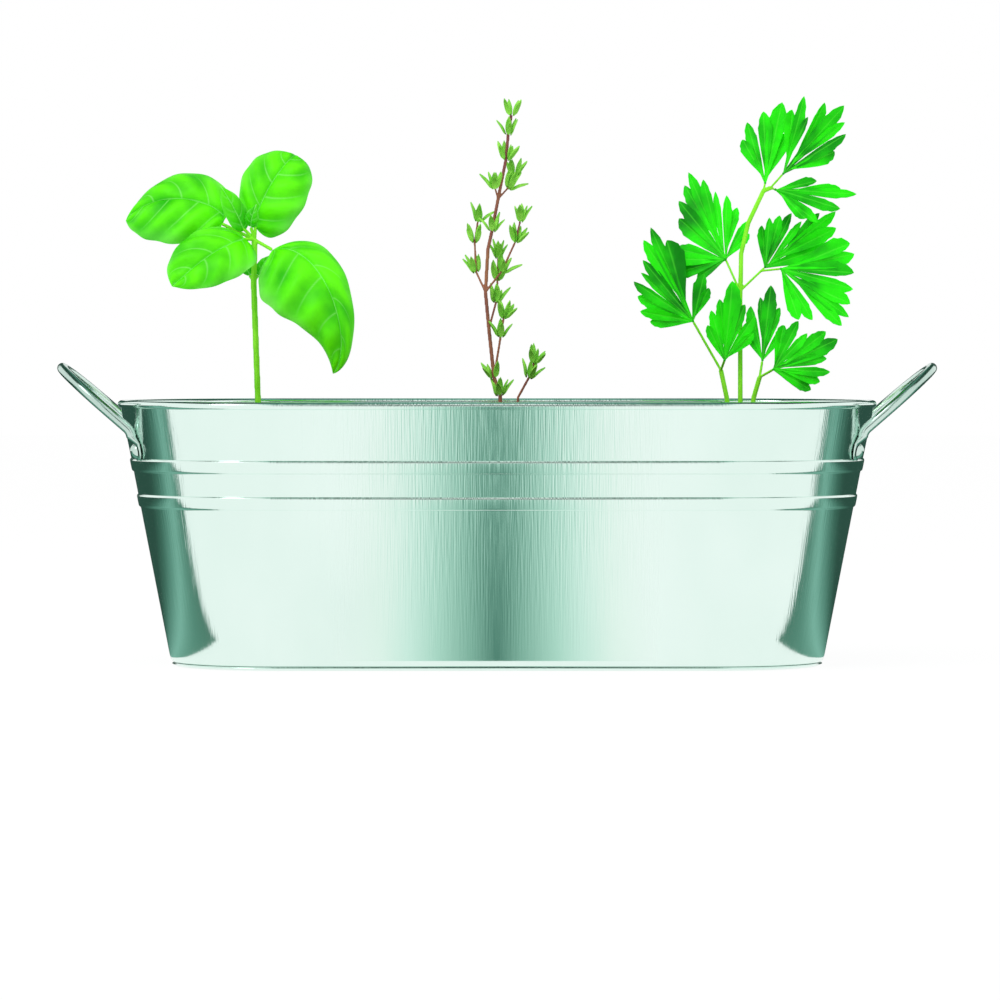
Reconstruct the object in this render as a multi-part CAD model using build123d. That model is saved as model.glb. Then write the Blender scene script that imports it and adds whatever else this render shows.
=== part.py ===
from build123d import *
from math import acos, asin, cos, degrees, radians, sin, sqrt
import os

# Indoor herb planter: an obround tub of zinc-coated sheet with two riveted rod handles,
# potting soil, and three young herbs. Millimetres, +Z up, origin at the middle of the base,
# +X along the tub, +Y to the back.

# Tub
tub_length = 240.0          # over the rim
tub_width = 102.0           # over the rim
tub_height = 84.0
foot_inset = 17.0           # how far the wall line draws in from rim to base
sheet = 0.5
bead_drops = (31.6, 20.3)   # each bead's middle below the rim
bead_tall = 4.2
bead_proud = 0.5
bead_steps = 2              # flats over a bead
foot_round = 4.5            # outside radius where the wall turns under
foot_steps = 2              # flats round the foot
foot_flange = 4.0           # flat of the wall below the floor pan
wire_diameter = 1.3
wire_fit = 0.05
curl_sides = 8              # flats round the rolled edge
wire_sides = 6

# Floor pan
seam_fit = 0.1
floor_recess = 2.0          # underside of the floor above the table
lip_steps = 1               # flats of the foot that the crimped lip covers

# Handles
rod_diameter = 3.2
handle_angle = 41.0         # rise of the loop, degrees from level
limb_length = 10.0          # from the bend to the start of the half circle
bend_radius = 4.0
bend_steps = 3              # straight runs round a bend
loop_steps = 7              # straight runs round each half of the loop
tab_turn = 23.5             # place of each tab round the end, degrees from the long axis
rivet_drop = 15.6           # below the rim
tab_width = 6.0
tab_thick = 1.2
tab_sides = 12
tab_rise = 2.4              # tab above the rivet, before it swells into the rod
swage_length = 2.4
rod_rise = 1.8              # rod above the tab, up to the corner of its bend
tab_seat = 0.05

# Rivets
rivet_head = 4.8
rivet_dome = 1.5
rivet_shank = 2.4
rivet_tail = 4.2
tail_thick = 0.8
rivet_fit = 0.1
rivet_sides = 8
dome_steps = 2

# Soil and planting
soil_clearance = 0.3
soil_steps = 12             # straight runs round each end of the soil
soil_slope = 45.0           # degrees that its lower edge is cut away, clear of the foot
root_depth = 15.0
root_fit = 0.2
basil_share = -0.3125       # places of the herbs along the tub, as shares of its length
thyme_share = 0.00625
parsley_share = 0.3208

# Herbs
basil_stem_radius = 0.95
basil_petiole_radius = 0.6
axil_drop = 2.0             # young shoots leave the stem this far below their leaves
basil_blade = 0.5
young_fullness = 0.85       # how far a young blade stays wide towards its tip
basil_steps = 7             # straight runs along each edge of a blade
basil_folds = 4             # flats along its arch
young_steps = 4
young_folds = 2
stem_sides = 4
thyme_stem_radius = 0.65
thyme_twig_radius = 0.45
thyme_leaf_length = 4.6
thyme_leaf_width = 2.2
thyme_leaf_thick = 0.4
thyme_leaf_rise = 48.0      # degrees above square to the twig
thyme_widest = 0.45         # where a leaf is widest, as a share of its length
whorl_leaves = 4
parsley_stem_radius = 0.9
parsley_petiole_radius = 0.55
parsley_blade = 0.4
leaf_joint = 0.3            # gap between a petiole's end and its blade

half_straight = (tub_length - tub_width) / 2
rim_radius = tub_width / 2
base_radius = rim_radius - foot_inset
curl_inner = wire_diameter / 2 + wire_fit
curl_radius = curl_inner + sheet
curl_centre = (rim_radius - curl_radius, tub_height - curl_radius)
wall_lean = (curl_centre[0] + sheet / 2 - base_radius) / curl_centre[1]
lean_angle = degrees(acos(1 / sqrt(1 + wall_lean ** 2)))
foot_turn = 90 - lean_angle
flange_level = sheet + seam_fit
floor_top = floor_recess + sheet
rivet_height = tub_height - rivet_drop
soil_top = rivet_height - rivet_tail
basil_place = basil_share * tub_length
thyme_place = thyme_share * tub_length
parsley_place = parsley_share * tub_length


def wall_radius(height):
    """Outside of the plain wall at a height, measured from the end's own axis."""
    return base_radius + wall_lean * height


def chords(curve, steps):
    """Points that part a curve into equal steps, both ends included."""
    return [curve @ (step / steps) for step in range(steps + 1)]


def carried_round(section):
    """Carry a section, drawn as (radius, height), round the obround plan."""
    start = Plane((half_straight, 0, 0), x_dir=(0, -1, 0), z_dir=(-1, 0, 0))
    placed = start * section
    front = extrude(placed, amount=2 * half_straight)
    right_end = revolve(placed, Axis((half_straight, 0, 0), (0, 0, 1)), 180)
    left_end = mirror(right_end, about=Plane.YZ)
    back = mirror(front, about=Plane.XZ)
    return front + right_end + back + left_end


def foot_centre():
    """Middle of the round where the flange turns up into the leaning wall."""
    half = radians(foot_turn) / 2
    return (wall_radius(flange_level) - foot_round * sin(half) / cos(half), flange_level + foot_round)


def wall_side(depth):
    """One face of the sheet, from the foot up over both beads to the rim."""
    inset = depth / cos(radians(lean_angle))
    side = chords(CenterArc(foot_centre(), foot_round - depth, -90, foot_turn), foot_steps)
    for drop in bead_drops:
        middle = tub_height - drop
        low = middle - bead_tall / 2
        high = middle + bead_tall / 2
        foot = (wall_radius(low) - inset, low)
        crown = (wall_radius(middle) + bead_proud - inset, middle)
        head = (wall_radius(high) - inset, high)
        side += chords(ThreePointArc(foot, crown, head), bead_steps)
    side.append((wall_radius(curl_centre[1]) - inset, curl_centre[1]))
    return side


def tub_section():
    """Sheet from the foot flange up the wall, over the beads and round the rim wire."""
    flange_end = foot_centre()[0] - foot_flange
    outside = [(flange_end, flange_level)] + wall_side(0)
    inside = [(flange_end, flange_level + sheet)] + wall_side(sheet)
    strip = make_face(Polyline(*outside, *reversed(inside), close=True))
    roll = RegularPolygon(curl_radius, curl_sides)
    bore = RegularPolygon(curl_inner, wire_sides)
    return strip + Pos(*curl_centre) * roll - Pos(*curl_centre) * bore


def tub_wall():
    wall = carried_round(tub_section())
    hole = extrude(RegularPolygon(rivet_shank / 2 + rivet_fit, rivet_sides), rivet_head, both=True)
    for side in (-1, 1):
        for place in rivet_places(side):
            wall -= place * hole
    return wall


def rim_wire():
    return carried_round(Pos(*curl_centre) * RegularPolygon(wire_diameter / 2, wire_sides))


def floor_pan():
    """Raised floor, a step down to the resting ring, and the lip crimped round the foot."""
    step = foot_centre()[0] - foot_flange - seam_fit
    sweep_angle = foot_turn * lip_steps / foot_steps
    lip_inside = foot_round + seam_fit
    lip_outside = lip_inside + sheet
    outer = chords(CenterArc(foot_centre(), lip_outside, -90, sweep_angle), lip_steps)
    inner = chords(CenterArc(foot_centre(), lip_inside, -90, sweep_angle), lip_steps)
    section = make_face(
        Polyline(
            (0, floor_recess),
            (step - sheet, floor_recess),
            (step - sheet, 0),
            *outer,
            *reversed(inner),
            (step, sheet),
            (step, floor_top),
            (0, floor_top),
            close=True,
        )
    )
    return carried_round(section)


def tab_plane(side, hand):
    """Plane lying on the outside of the wall at a rivet, local Y pointing up the wall."""
    turn = radians(tab_turn) * hand
    lean = radians(lean_angle)
    radius = wall_radius(rivet_height)
    spot = Vector(half_straight + radius * cos(turn), radius * sin(turn), rivet_height)
    outward = Vector(cos(lean) * cos(turn), cos(lean) * sin(turn), -sin(lean))
    along = Vector(-sin(turn), cos(turn), 0)
    if side < 0:
        spot = Vector(-spot.X, spot.Y, spot.Z)
        outward = Vector(-outward.X, outward.Y, outward.Z)
        along = Vector(along.X, -along.Y, 0)
    return Plane(spot + outward * tab_seat, x_dir=along, z_dir=outward)


def rivet_places(side):
    return [Location(tab_plane(side, hand)) for hand in (-1, 1)]


def handle():
    """Right-hand loop: two limbs and a half circle, with a hammered tab at each end."""
    seat = tab_plane(1, -1)
    rise = tab_rise + swage_length
    limb = Vector(cos(radians(handle_angle)), 0, sin(radians(handle_angle)))
    start = seat.from_local_coords((0, rise, rod_diameter / 2))
    corner = seat.from_local_coords((0, rise + rod_rise, rod_diameter / 2))
    loop_start = corner + limb * limb_length
    loop_radius = -loop_start.Y
    loop_centre = Vector(loop_start.X, 0, loop_start.Z)
    quarter = (limb + Vector(0, -1, 0)).normalized()
    bend = FilletPolyline(start, corner, loop_start, radius=bend_radius).edges()[1]
    loop = ThreePointArc(loop_start, loop_centre + quarter * loop_radius, loop_centre + limb * loop_radius)
    path = Polyline(start, *chords(bend, bend_steps), *chords(loop, loop_steps))
    rod = chamfer(Rectangle(rod_diameter, rod_diameter).vertices(), rod_diameter * (1 - sqrt(0.5)))
    round_end = Plane(start, x_dir=seat.x_dir, z_dir=seat.y_dir) * rod
    half = sweep(round_end, path=path, transition=Transition.RIGHT) + handle_tab(seat)
    return half + mirror(half, about=Plane.XZ)


def handle_tab(seat):
    """Flat rounded tab with a rivet hole, swelling upwards into the rod."""
    plate = RegularPolygon(tab_width / 2, tab_sides) + Pos(0, tab_rise / 2) * Rectangle(tab_width, tab_rise)
    plate -= RegularPolygon(rivet_shank / 2 + rivet_fit, rivet_sides)
    top = tab_rise + swage_length
    front = Polyline(
        (-tab_width / 2, tab_rise),
        (tab_width / 2, tab_rise),
        (rod_diameter / 2, top),
        (-rod_diameter / 2, top),
        close=True,
    )
    side = Polyline((tab_rise, 0), (top, 0), (top, rod_diameter), (tab_rise, tab_thick), close=True)
    swage = extrude(make_face(front), rod_diameter)
    swage &= extrude(Plane.YZ * make_face(side), tab_width / 2, both=True)
    return Location(seat) * (extrude(plate, tab_thick) + swage)


def rivet():
    """Domed head outside, shank through tab and wall, flat tail inside, axis on Z."""
    head_base = tab_thick + rivet_fit
    tail_top = -(tab_seat + sheet + rivet_fit + rivet_tail ** 2 / (8 * wall_radius(rivet_height)))
    edge = rivet_head / 2
    radius = (edge ** 2 + rivet_dome ** 2) / (2 * rivet_dome)
    dome = CenterArc((0, head_base + rivet_dome - radius), radius, 90, -degrees(asin(edge / radius)))
    rings = chords(dome, dome_steps + 1)[1:]
    outlines = [Pos(0, 0, ring.Y) * RegularPolygon(ring.X, rivet_sides) for ring in reversed(rings)]
    head = loft(outlines, ruled=True)
    shank = extrude(Pos(0, 0, tail_top) * RegularPolygon(rivet_shank / 2, rivet_sides), head_base - tail_top)
    tail = extrude(Pos(0, 0, tail_top) * RegularPolygon(rivet_tail / 2, rivet_sides), -tail_thick)
    return head + shank + tail


def soil_plan(height):
    """Obround outline of the soil at a height, drawn in straight runs inside the wall."""
    radius = wall_radius(height) - sheet - soil_clearance
    right = chords(CenterArc((half_straight, 0), radius, -90, 180), soil_steps)
    left = [Vector(-point.X, -point.Y) for point in right]
    return Pos(0, 0, height) * make_face(Polyline(*right, *left, close=True))


def potting_soil(roots):
    """Soil filling the tub to its level, with a hole for each stem."""
    knee = floor_top + foot_round
    soil = extrude(soil_plan(soil_top), knee - soil_top, taper=lean_angle)
    soil += extrude(soil_plan(knee), -foot_round, taper=soil_slope)
    for spot, radius in roots:
        root = RegularPolygon(radius + root_fit, 2 * stem_sides, major_radius=False)
        soil -= extrude(Pos(spot.X, spot.Y, soil_top) * root, root_depth, both=True)
    return soil


def shoot(points, radius, sides):
    """Stem of straight runs."""
    path = Polyline(*points) if len(points) > 2 else Line(*points)
    section = Plane(points[0], z_dir=points[1] - points[0]) * RegularPolygon(radius, sides)
    return sweep(section, path=path, transition=Transition.RIGHT)


def petiole(points, radius, sides):
    """Leaf stalk that stops just short of the blade at its end."""
    root, blade = points
    return shoot([root, blade - (blade - root).normalized() * leaf_joint], radius, sides)


def in_ground(place, points):
    """Move points given from where the herb leaves the soil."""
    ground = Vector(place, 0, soil_top)
    return [ground + Vector(*point) for point in points]


# Basil, in millimetres from where its stem leaves the soil. Each edge of a blade is a cubic from base
# to tip: its two handles are given as a share of the length and a distance to the side.
basil_node = (-1.7, 0, 70.5)
basil_run = [(0, 0, -root_depth), (0, 0, 0), (-2.0, 0, 56.8), basil_node]
basil_leaves = {
    "basil_leaf_left": dict(
        base=(-12.3, 2.0, 75.7), tip=(-42.4, 9.0, 77.0), arch=4.0,
        upper=[(-0.25, 22.6), (0.85, 22.6)], lower=[(0.0, 12.0), (0.9, 11.0)],
    ),
    "basil_leaf_top": dict(
        base=(-1.6, 3.0, 74.9), tip=(10.6, 9.0, 97.2), arch=4.0,
        upper=[(0.1, 15.0), (1.1, 14.0)], lower=[(-0.3, 14.0), (1.1, 15.5)],
    ),
    "basil_leaf_front": dict(
        base=(-5.2, -3.0, 70.8), tip=(-26.4, -14.0, 56.4), arch=4.0,
        upper=[(-0.1, 14.0), (1.05, 13.0)], lower=[(-0.2, 14.4), (0.85, 14.4)],
    ),
    "basil_leaf_right": dict(
        base=(4.1, -2.0, 67.2), tip=(23.1, -8.0, 28.8), arch=6.0,
        upper=[(-0.1, 30.0), (1.1, 12.0)], lower=[(0.35, 25.0), (0.55, -5.0)],
    ),
}
young_basil = [
    dict(base=(-5.6, -1.0, 74.5), tip=(-11.6, -4.0, 86.4), half=4.5, arch=1.5),
    dict(base=(-2.8, -2.4, 74.6), tip=(-1.4, -6.0, 80.4), half=2.2, arch=1.0),
    dict(base=(-3.4, 1.2, 59.5), tip=(-6.4, 3.0, 65.0), half=1.8, arch=0.8),
    dict(base=(-0.6, 1.2, 59.5), tip=(2.4, 3.0, 65.0), half=1.8, arch=0.8),
]
leaf_facing = Vector(0, -0.86, 0.5)
BEZIER_CROWN = 0.75         # height of a cubic whose two handles stand at one


def basil_stem():
    stem = shoot(in_ground(basil_place, basil_run), basil_stem_radius, stem_sides)
    for leaf in list(basil_leaves.values()) + young_basil[:2]:
        stem += petiole(in_ground(basil_place, [basil_node, leaf["base"]]), basil_petiole_radius, stem_sides)
    for leaf in young_basil[2:]:
        fork = (basil_run[2][0], basil_run[2][1], leaf["base"][2] - axil_drop)
        stem += petiole(in_ground(basil_place, [fork, leaf["base"]]), basil_petiole_radius, stem_sides)
    return stem


def basil_leaf(leaf, steps, folds):
    """Blade between two curved edges, arched along its length, upper side turned to the front."""
    base, tip = in_ground(basil_place, [leaf["base"], leaf["tip"]])
    length = (tip - base).length
    along = (tip - base).normalized()
    facing = (leaf_facing - along * leaf_facing.dot(along)).normalized()
    hand = 1 if facing.cross(along).Z > 0 else -1
    edges = []
    for handles, side in ((leaf["upper"], hand), (leaf["lower"], -hand)):
        pulls = [(share * length, aside * side) for share, aside in handles]
        edges.append(chords(Bezier((0, 0), *pulls, (length, 0)), steps))
    outline = Polyline(*edges[0], *edges[1][-2:0:-1], close=True)
    blank = extrude(make_face(outline), amount=leaf["arch"] + basil_blade, both=True)
    top = chords(ThreePointArc((0, 0), (length / 2, leaf["arch"]), (length, 0)), folds)
    top[0] += top[0] - top[1]
    top[-1] += top[-1] - top[-2]
    under = [point - Vector(0, basil_blade) for point in reversed(top)]
    arched = Plane.XZ * make_face(Polyline(*top, *under, close=True))
    blade = blank & extrude(arched, amount=length, both=True)
    return Plane(base, x_dir=along, z_dir=facing) * blade


def young_leaf(leaf):
    """Small even blade."""
    handle_height = leaf["half"] / BEZIER_CROWN
    edge = [(0, handle_height), (young_fullness, handle_height)]
    return basil_leaf(dict(leaf, upper=edge, lower=edge), young_steps, young_folds)


# Thyme, in millimetres from where its main stem leaves the soil; whorls are heights of the leaf rings
thyme_twigs = {
    "main": dict(
        points=[
            (0, 0, -root_depth), (0, 0, 0), (-0.6, 0, 21.6), (-2.5, 0, 27.1), (-4.1, 0, 42.3),
            (-5.2, 0, 54.0), (-4.4, 0, 67.6), (-3.1, 0, 73.5), (-1.2, 0, 83.4), (1.3, 0, 96.0),
            (2.0, 0, 104.0), (3.0, 0, 110.0),
        ],
        whorls=(21.6, 27.1, 73.5, 96.0, 104.0, 110.0),
    ),
    "left": dict(
        points=[(-5.2, 0, 54.0), (-8.2, 1.5, 60.5), (-8.6, 2.0, 70.0), (-7.6, 2.5, 76.5)],
        whorls=(60.5, 70.0, 76.5),
    ),
    "right": dict(
        points=[(-5.2, 0, 54.0), (0.0, -2.0, 60.6), (4.3, -3.5, 70.0), (5.8, -4.0, 76.5)],
        whorls=(60.6, 70.0, 76.5),
    ),
    "inner": dict(
        points=[(-4.1, 0, 42.3), (-1.8, 2.5, 51.0), (-1.4, 3.5, 58.0), (-1.2, 4.0, 65.0)],
        whorls=(51.0, 58.0, 65.0),
    ),
    "lower": dict(points=[(-2.5, 0, 27.1), (-0.4, -2.2, 40.0), (0.6, -3.0, 46.0)], whorls=(40.0, 46.0)),
    "upper": dict(points=[(-1.2, 0, 83.4), (2.0, 1.2, 87.0), (3.8, 2.4, 91.0)], whorls=(87.0, 91.0)),
    "crook": dict(points=[(-1.2, 0, 83.4), (-2.2, -1.6, 87.0)], whorls=(87.0,)),
}
thyme_sprig_run = dict(
    points=[
        (3.0, -2.5, -root_depth), (3.0, -2.5, 0), (5.1, -2.5, 20.7), (8.6, -3.0, 27.1), (10.2, -3.4, 31.8),
    ],
    whorls=(27.1, 31.8),
)


def thyme_stem():
    stem = None
    for name, twig in thyme_twigs.items():
        radius = thyme_stem_radius if name == "main" else thyme_twig_radius
        run = shoot(in_ground(thyme_place, twig["points"]), radius, stem_sides)
        stem = run if stem is None else stem + run
    return stem


def thyme_sprig():
    return shoot(in_ground(thyme_place, thyme_sprig_run["points"]), thyme_twig_radius, stem_sides)


def thyme_whorl(spot, up, clear, quarter):
    """Ring of small pointed leaves round a twig, each standing just off its surface."""
    around = Plane(spot, z_dir=up)
    kite = make_face(
        Polyline(
            (0, 0),
            (thyme_leaf_length * thyme_widest, thyme_leaf_width / 2),
            (thyme_leaf_length, 0),
            (thyme_leaf_length * thyme_widest, -thyme_leaf_width / 2),
            close=True,
        )
    )
    blade = extrude(kite, amount=thyme_leaf_thick)
    leaves = []
    for count in range(whorl_leaves):
        turn = Rot(0, 0, (count + quarter / 2) * 360 / whorl_leaves)
        leaves.append(Location(around) * turn * Pos(clear, 0, 0) * Rot(0, -thyme_leaf_rise, 0) * blade)
    return leaves


def thyme_leaves(twig, radius):
    leaves = []
    for order, height in enumerate(twig["whorls"]):
        for low, high in zip(twig["points"], twig["points"][1:]):
            if low[2] < height <= high[2]:
                foot, head = in_ground(thyme_place, [low, high])
                spot = foot + (head - foot) * ((height - low[2]) / (high[2] - low[2]))
                leaves += thyme_whorl(spot, head - foot, radius + leaf_joint, order % 2)
    return leaves


# Parsley, in millimetres from where its middle stem leaves the soil
parsley_stems = {
    "parsley_stem_middle": dict(
        trunk=[
            (0, 0, -root_depth), (0, 0, 0), (-0.1, 0, 52.4), (0.2, 0, 66.3), (2.4, 0, 75.8), (7.2, 0, 86.0),
            (9.4, 0, 86.9),
        ],
        petioles=[
            [(-0.1, 0, 54.0), (-4.6, 4.0, 64.4)],
            [(0.1, 0, 54.6), (7.8, 1.6, 61.9)],
            [(6.5, 1.3, 60.7), (12.5, -5.0, 61.3)],
            [(7.2, 0, 86.0), (7.8, 2.0, 88.5)],
            [(9.4, 0, 86.9), (13.4, -2.0, 91.4)],
            [(9.4, 0, 86.9), (11.0, 0.8, 86.4)],
        ],
    ),
    "parsley_stem_left": dict(
        trunk=[(-2.6, 3.0, -root_depth), (-2.6, 3.0, 0), (-4.2, 3.0, 20.4), (-6.1, 3.0, 29.3)],
        petioles=[[(-6.1, 3.0, 29.3), (-15.0, 2.0, 44.8)], [(-6.1, 3.0, 29.3), (-5.2, -4.8, 32.5)]],
    ),
    "parsley_stem_right": dict(
        trunk=[(2.6, -3.0, -root_depth), (2.6, -3.0, 0), (4.0, -3.0, 20.4), (5.9, -4.0, 27.1)],
        petioles=[[(5.9, -4.0, 27.1), (6.8, -3.4, 32.5)], [(5.9, -4.0, 27.1), (10.0, -9.0, 29.6)]],
    ),
}
# Each lobe is its direction in degrees, its length and half its width
parsley_leaves = {
    "parsley_leaf_top_left": dict(
        hub=(7.8, 2.0, 88.5), turn=-15, lean=8, lobes=[(110, 20.5, 3.1), (86, 26.0, 5.0), (63, 17.0, 2.9)]
    ),
    "parsley_leaf_top_right": dict(
        hub=(13.4, -2.0, 91.4), turn=18, lean=-6,
        lobes=[(75, 25.5, 3.5), (56, 28.0, 4.3), (42, 30.0, 4.1), (26, 24.0, 3.6)],
    ),
    "parsley_leaf_top_side": dict(
        hub=(11.0, 0.8, 86.4), turn=12, lean=20, lobes=[(-4, 26.5, 4.7), (-35, 17.5, 3.1)]
    ),
    "parsley_leaf_left_high": dict(
        hub=(-4.6, 4.0, 64.4), turn=-14, lean=6,
        lobes=[(141, 21.0, 3.1), (117, 30.5, 6.0), (90, 20.5, 3.8), (57, 14.0, 2.9)],
    ),
    "parsley_leaf_left_inner": dict(
        hub=(-4.9, 3.3, 64.2), turn=-8, lean=22, lobes=[(176, 17.5, 3.6), (205, 14.0, 3.8)]
    ),
    "parsley_leaf_left_low": dict(
        hub=(-15.0, 2.0, 44.8), turn=-10, lean=-8,
        lobes=[(171, 16.5, 3.4), (146, 22.0, 4.1), (130, 24.5, 3.4), (114, 31.5, 5.0), (68, 14.5, 3.1)],
    ),
    "parsley_leaf_front_left": dict(
        hub=(-5.2, -4.8, 32.5), turn=8, lean=-3,
        lobes=[(109, 16.0, 2.8), (86, 25.0, 3.8), (70, 18.5, 3.1), (53, 17.0, 2.9)],
    ),
    "parsley_leaf_front_right": dict(
        hub=(6.8, -3.4, 32.5), turn=-8, lean=2,
        lobes=[(104, 17.0, 2.9), (84, 24.0, 4.1), (66, 17.0, 3.1)],
    ),
    "parsley_leaf_low_side": dict(
        hub=(10.0, -9.0, 29.6), turn=14, lean=8,
        lobes=[(74, 15.0, 2.9), (58, 17.5, 2.9), (27, 25.0, 4.8), (1, 20.0, 3.6), (-27, 15.0, 2.9)],
    ),
    "parsley_leaf_right_high": dict(
        hub=(7.8, 1.6, 61.9), turn=12, lean=6,
        lobes=[(84, 16.5, 2.9), (66, 19.5, 3.4), (38, 29.0, 5.3), (20, 25.0, 3.8)],
    ),
    "parsley_leaf_right_low": dict(
        hub=(12.5, -5.0, 61.3), turn=10, lean=12,
        lobes=[(17, 25.0, 5.0), (-9, 25.5, 4.3), (-34, 27.0, 4.6), (-50, 26.0, 3.8), (-72, 18.0, 3.1)],
    ),
}
# One side of a lobe, as shares of its length and half width: root, shoulder, two teeth and their notches
lobe_side = [(0, 0.14), (0.42, 0.52), (0.66, 1.0), (0.65, 0.64), (0.86, 0.80), (0.83, 0.38)]


def parsley_stem(plant):
    stem = shoot(in_ground(parsley_place, plant["trunk"]), parsley_stem_radius, 6)
    for run in plant["petioles"]:
        stem += petiole(in_ground(parsley_place, run), parsley_petiole_radius, 6)
    return stem


def lobe(angle, length, half_width):
    """Wedge of blade that widens from the hub and ends in five teeth."""
    left = [(along * length, aside * half_width) for along, aside in lobe_side]
    right = [(along, -aside) for along, aside in reversed(left)]
    return Rot(0, 0, angle) * make_face(Polyline(*left, (length, 0), *right, close=True))


def parsley_leaf(leaf):
    turn = radians(leaf["turn"])
    lean = radians(leaf["lean"])
    facing = Vector(sin(turn) * cos(lean), -cos(turn) * cos(lean), sin(lean))
    hub = in_ground(parsley_place, [leaf["hub"]])[0]
    plane = Plane(hub, x_dir=(cos(turn), sin(turn), 0), z_dir=facing)
    lobes = [lobe(*shape) for shape in leaf["lobes"]]
    blade = lobes[0]
    for other in lobes[1:]:
        blade += other
    return extrude(plane * blade, amount=parsley_blade / 2, both=True)


def planting():
    """Where each stem enters the soil, with the radius of its section."""
    spots = [(in_ground(basil_place, [basil_run[1]])[0], basil_stem_radius)]
    spots.append((in_ground(thyme_place, [thyme_twigs["main"]["points"][1]])[0], thyme_stem_radius))
    spots.append((in_ground(thyme_place, [thyme_sprig_run["points"][1]])[0], thyme_twig_radius))
    for plant in parsley_stems.values():
        spots.append((in_ground(parsley_place, [plant["trunk"][1]])[0], parsley_stem_radius))
    return spots


def pieces():
    right_handle = handle()
    yield "tub_wall", tub_wall()
    yield "rim_wire", rim_wire()
    yield "floor_pan", floor_pan()
    yield "handle_right", right_handle
    yield "handle_left", mirror(right_handle, about=Plane.YZ)
    rivets = [place * rivet() for side in (-1, 1) for place in rivet_places(side)]
    yield "handle_rivets", Compound(children=rivets)
    yield "potting_soil", potting_soil(planting())
    yield "basil_stem", basil_stem()
    for name, leaf in basil_leaves.items():
        yield name, basil_leaf(leaf, basil_steps, basil_folds)
    young = [young_leaf(leaf) for leaf in young_basil]
    yield "basil_young_leaves", Compound(children=young)
    yield "thyme_stem", thyme_stem()
    yield "thyme_sprig", thyme_sprig()
    for name, twig in thyme_twigs.items():
        radius = thyme_stem_radius if name == "main" else thyme_twig_radius
        yield "thyme_leaves_" + name, Compound(children=thyme_leaves(twig, radius))
    yield "thyme_leaves_sprig", Compound(children=thyme_leaves(thyme_sprig_run, thyme_twig_radius))
    for name, plant in parsley_stems.items():
        yield name, parsley_stem(plant)
    for name, leaf in parsley_leaves.items():
        yield name, parsley_leaf(leaf)


os.makedirs("parts", exist_ok=True)
for node, shape in pieces():
    export_step(shape, os.path.join("parts", node + ".step"))
    print(node, len(shape.solids()), "solid(s)", round(shape.volume, 1), "mm3")
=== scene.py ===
# %% [markdown]
# An indoor herb planter: an oblong tub of zinc-coated sheet with two riveted rod handles, potting
# soil and three young herbs. The CAD frame holds every place and size, so this lesson takes its
# measurements from there and gives each piece the finer form and finish that the solids leave out.

import math
import random

import bmesh
import bpy
from mathutils import Matrix, Vector, noise


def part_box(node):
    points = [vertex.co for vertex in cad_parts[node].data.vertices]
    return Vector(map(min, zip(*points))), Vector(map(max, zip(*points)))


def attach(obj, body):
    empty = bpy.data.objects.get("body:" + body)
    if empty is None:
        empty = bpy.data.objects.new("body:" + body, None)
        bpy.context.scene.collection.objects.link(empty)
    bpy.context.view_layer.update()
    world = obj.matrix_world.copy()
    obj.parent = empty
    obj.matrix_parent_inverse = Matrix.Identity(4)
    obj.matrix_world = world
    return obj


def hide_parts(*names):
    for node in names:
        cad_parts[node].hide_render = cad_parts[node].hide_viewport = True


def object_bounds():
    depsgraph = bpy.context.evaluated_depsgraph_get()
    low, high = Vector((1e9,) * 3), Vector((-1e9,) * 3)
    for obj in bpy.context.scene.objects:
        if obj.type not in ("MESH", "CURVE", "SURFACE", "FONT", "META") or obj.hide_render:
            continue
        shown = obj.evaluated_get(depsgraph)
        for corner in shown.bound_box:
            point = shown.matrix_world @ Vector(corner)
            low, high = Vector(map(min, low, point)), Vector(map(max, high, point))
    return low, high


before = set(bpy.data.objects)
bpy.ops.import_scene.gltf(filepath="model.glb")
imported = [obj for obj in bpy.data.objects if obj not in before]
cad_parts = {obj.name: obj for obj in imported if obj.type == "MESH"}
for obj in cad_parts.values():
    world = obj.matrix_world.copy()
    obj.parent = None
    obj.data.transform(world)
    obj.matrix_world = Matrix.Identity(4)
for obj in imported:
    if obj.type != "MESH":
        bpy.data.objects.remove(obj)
mm = 0.001
cad_low, cad_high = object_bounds()
bpy.context.scene.view_settings.view_transform = "Standard"
print("frame:", len(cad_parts), "nodes, size in mm", [round(side / mm) for side in cad_high - cad_low])

# %% [markdown]
# Each piece starts from nothing selected, because the loaded nodes are all selected and an operator
# acts on everything that is. These helpers pick a piece, open a fresh mesh, draw a line of points in
# it, turn its faces outwards, and close it as a piece that takes the place of one or more CAD nodes.

# %% Helpers to open and close a piece
merge_reach = 0.001 * mm


def pick(piece):
    """Select one piece alone and make it active."""
    bpy.ops.object.select_all(action="DESELECT")
    piece.select_set(True)
    bpy.context.view_layer.objects.active = piece


def open_mesh():
    """Go into edit mode with everything selected."""
    bpy.ops.object.mode_set(mode="EDIT")
    bpy.ops.mesh.select_all(action="SELECT")


def new_points(name):
    """A mesh of one point at the origin, open in edit mode."""
    bpy.ops.object.select_all(action="DESELECT")
    bpy.ops.mesh.primitive_plane_add(size=mm, location=(0, 0, 0))
    piece = bpy.context.object
    piece.name = name
    piece.data.name = name
    open_mesh()
    bpy.ops.mesh.merge(type="CENTER")
    return piece


def draw_line(points, close=False):
    """Move the single open point to the first place and extrude it on to the others."""
    bpy.ops.transform.translate(value=points[0])
    for here, there in zip(points, points[1:]):
        bpy.ops.mesh.extrude_vertices_move(TRANSFORM_OT_translate={"value": there - here})
    if close:
        mesh = bmesh.from_edit_mesh(bpy.context.object.data)
        mesh.verts.ensure_lookup_table()
        mesh.edges.new((mesh.verts[-1], mesh.verts[0]))
        bmesh.update_edit_mesh(bpy.context.object.data)
    bpy.ops.mesh.select_all(action="SELECT")


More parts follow.
